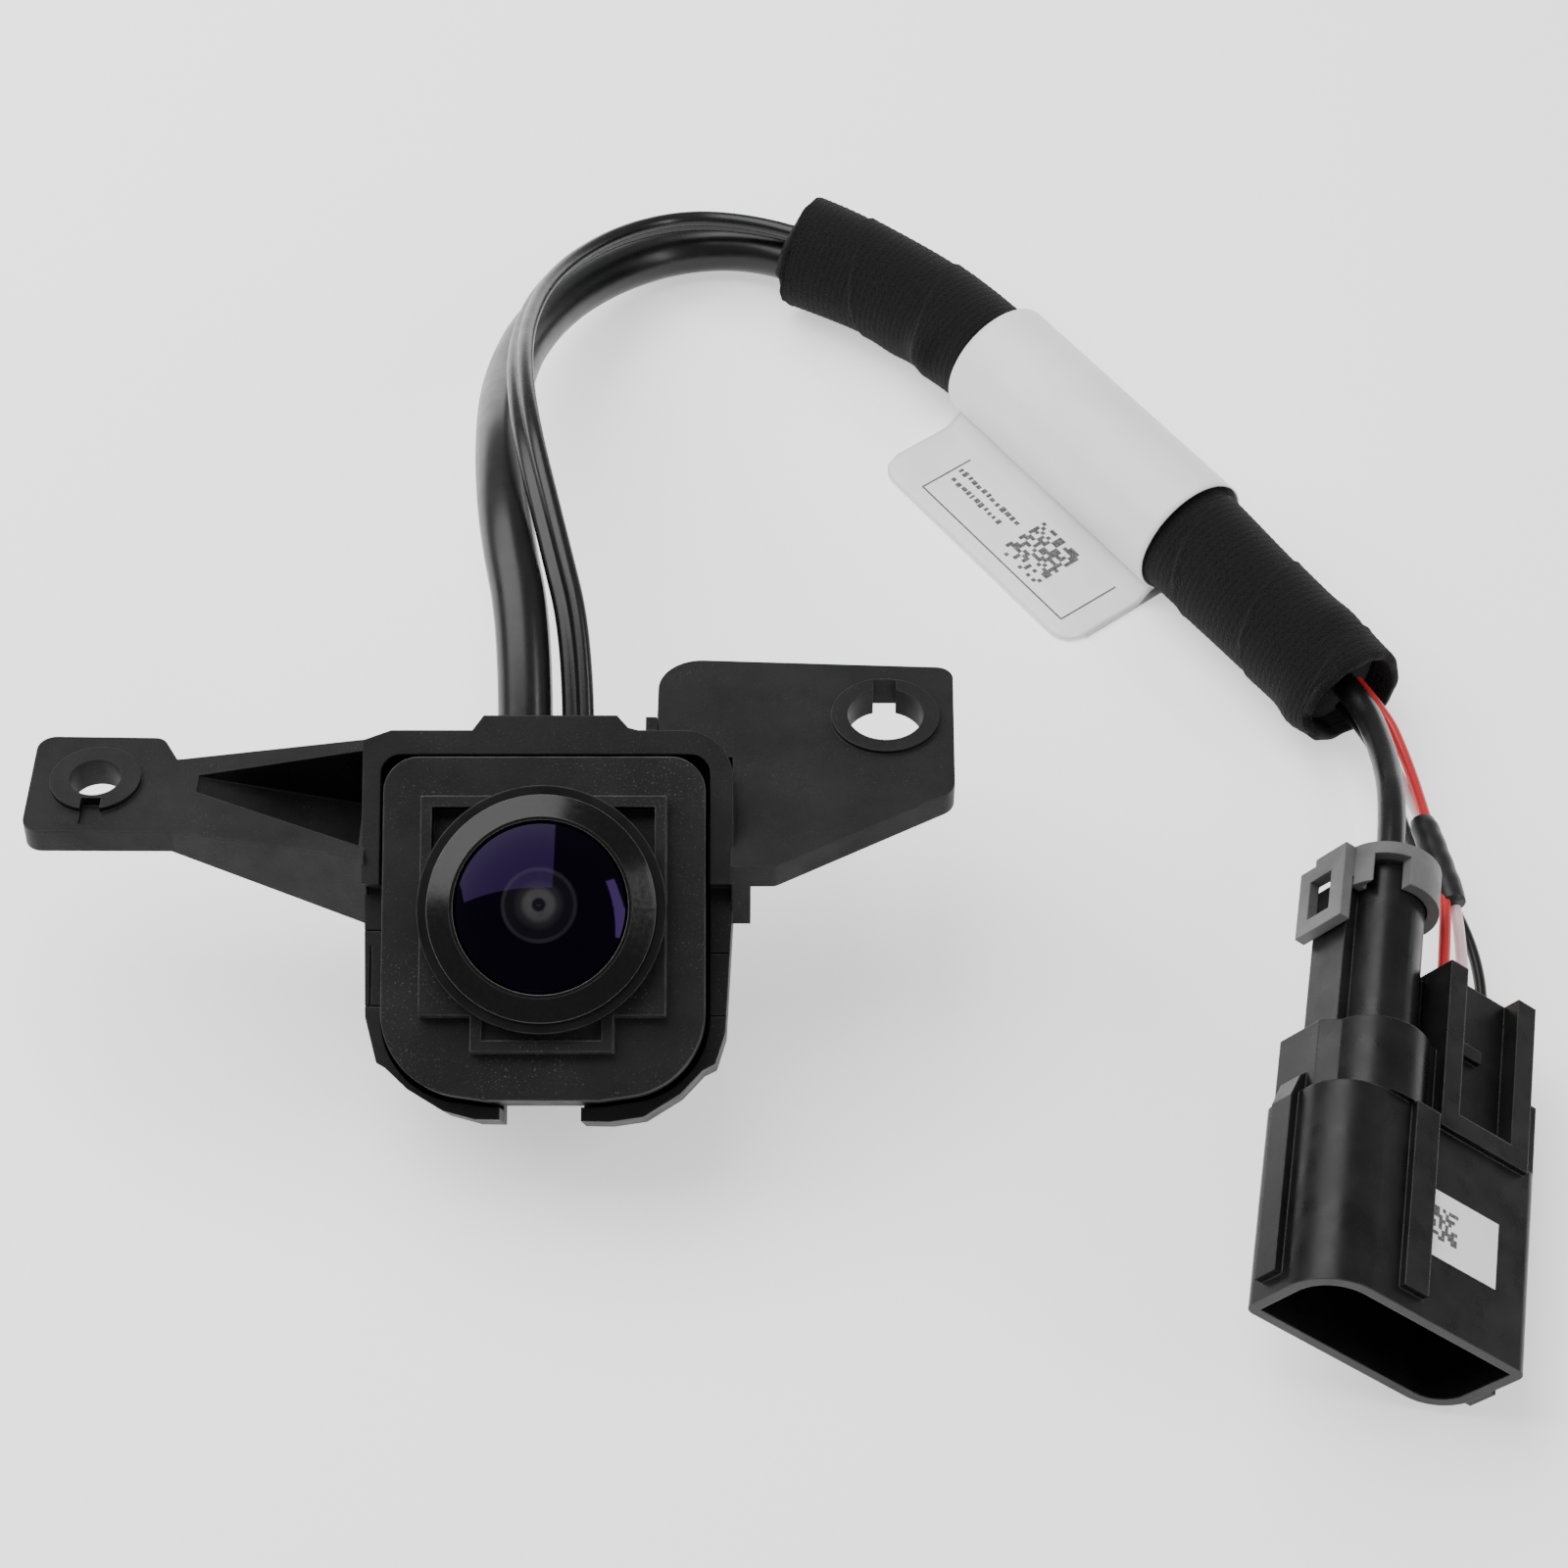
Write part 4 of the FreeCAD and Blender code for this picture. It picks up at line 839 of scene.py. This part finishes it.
def print_bars(left, right, low, high, seed):
    """A row of short uneven bars that stands for a line of print, as marks for add_print."""
    draw = random.Random(seed)
    ragged = 0.00018
    marks, at = [], left
    while at < right:
        width = draw.uniform(0.00022, 0.0006)
        bottom = low + draw.uniform(0, ragged)
        top = high - draw.uniform(0, ragged)
        marks.append((at, min(at + width, right), bottom, top))
        at += width + draw.uniform(0.00012, 0.00035)
    return marks


def add_print(name, marks, to_world, height, ink):
    """Thin slabs of ink, one for each mark (left, right, low, high), at a height on a label's plane."""
    vertices, faces = [], []
    for left, right, low, high in marks:
        start = len(vertices)
        for rise in (height, height + INK_THICKNESS):
            for across, up in ((left, low), (right, low), (right, high), (left, high)):
                vertices.append(to_world(across, up, rise))
        faces.append((start + 4, start + 5, start + 6, start + 7))
        for side in range(4):
            after = (side + 1) % 4
            faces.append((start + side, start + after, start + 4 + after, start + 4 + side))
    piece = new_piece(name, vertices, faces, ink, smooth=False)
    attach(piece, "root")


def flag_point(along, out, rise):
    return FLAG_CORNER + FLAG_ALONG * along + FLAG_OUT * out + UPWARDS * rise


def plug_point(across, back, rise):
    return PLUG_MOUTH + PLUG_ACROSS * across + PLUG_BACK * back + PLUG_UP * rise


def flag_edge(part):
    """How far out the flag reaches at a part of its length, with its outer corners rounded."""
    near = min(part, 1 - part) * LABEL_LENGTH
    if near >= FLAG_RADIUS:
        return FLAG_REACH
    return FLAG_REACH - FLAG_RADIUS + math.sqrt(max(0, FLAG_RADIUS ** 2 - (FLAG_RADIUS - near) ** 2))


def label_row(edge):
    """(out, rise) points: round the sleeve, down to the flag, out to its edge and back underneath."""
    wrap_turn, wrap_steps, slope_steps, flat_steps = 318, 48, 8, 12
    row = []
    for step in range(wrap_steps + 1):
        angle = math.radians(-90 - wrap_turn * step / wrap_steps)
        row.append((WRAP_RADIUS * math.cos(angle), WRAP_HEIGHT + WRAP_RADIUS * math.sin(angle)))
    out, rise = row[-1]
    for step in range(1, slope_steps + 1):
        share = step / slope_steps
        blend = share * share * (3 - 2 * share)
        row.append((out + (FLAG_START - out) * share, rise + (FLAG_TOP - rise) * blend))
    for step in range(1, flat_steps + 1):
        row.append((FLAG_START + (edge - FLAG_START) * step / flat_steps, FLAG_TOP))
    for step in range(flat_steps + 1):
        row.append((edge - edge * step / flat_steps, FLAG_BOTTOM))
    return row


def harness_label(film):
    """Label film round the sleeve, its two ends stuck together as a flag on the floor."""
    rows = 48
    vertices, faces = [], []
    for row in range(rows + 1):
        part = row / rows
        for out, rise in label_row(flag_edge(part)):
            vertices.append(flag_point(part * LABEL_LENGTH, out, rise))
    around = len(vertices) // (rows + 1)
    for row in range(rows):
        for step in range(around - 1):
            first = row * around + step
            faces.append((first, first + around, first + around + 1, first + 1))
    label = new_piece("harness_label_film", vertices, faces, film)
    shell = label.modifiers.new("film", "SOLIDIFY")
    shell.thickness = FILM_THICKNESS
    shell.offset = 0
    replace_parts(label, "harness_label")
    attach(label, "root")


def harness_label_print(ink):
    """A line round three sides of the flag, two lines of print and a code square."""
    left, right, top = 0.0047, 0.0255, 0.0125
    marks = [(left, right, top, top + LINE_WIDTH), (left, left + LINE_WIDTH, 0.0068, top),
             (right - LINE_WIDTH, right, 0.0058, top)]
    marks += print_bars(0.0052, 0.0142, 0.0080, 0.0087, seed=3)
    marks += print_bars(0.0056, 0.0128, 0.0093, 0.0100, seed=5)
    marks += code_square(0.0152, 0.0062, side=0.0056, cells=14, seed=11)
    add_print("harness_label_print", marks, flag_point, FLAG_INK_HEIGHT, ink)


def plug_label_print(ink):
    """A code patch at the edge of the plug's label, by the rail."""
    marks = code_square(-0.0008, 0.0074, side=0.0029, cells=9, seed=21)
    add_print("plug_label_print", marks, plug_point, PLUG_INK_HEIGHT, ink)


# ---------------------------------------------------------------- build

add_camera()
add_cords()
add_lights()
add_floor()
FINISHES = slot_finishes()
dress_nodes(FINISHES)
INK = printed_ink("printed_ink")
harness_label(FINISHES["label_paper"])
harness_label_print(INK)
plug_label_print(INK)
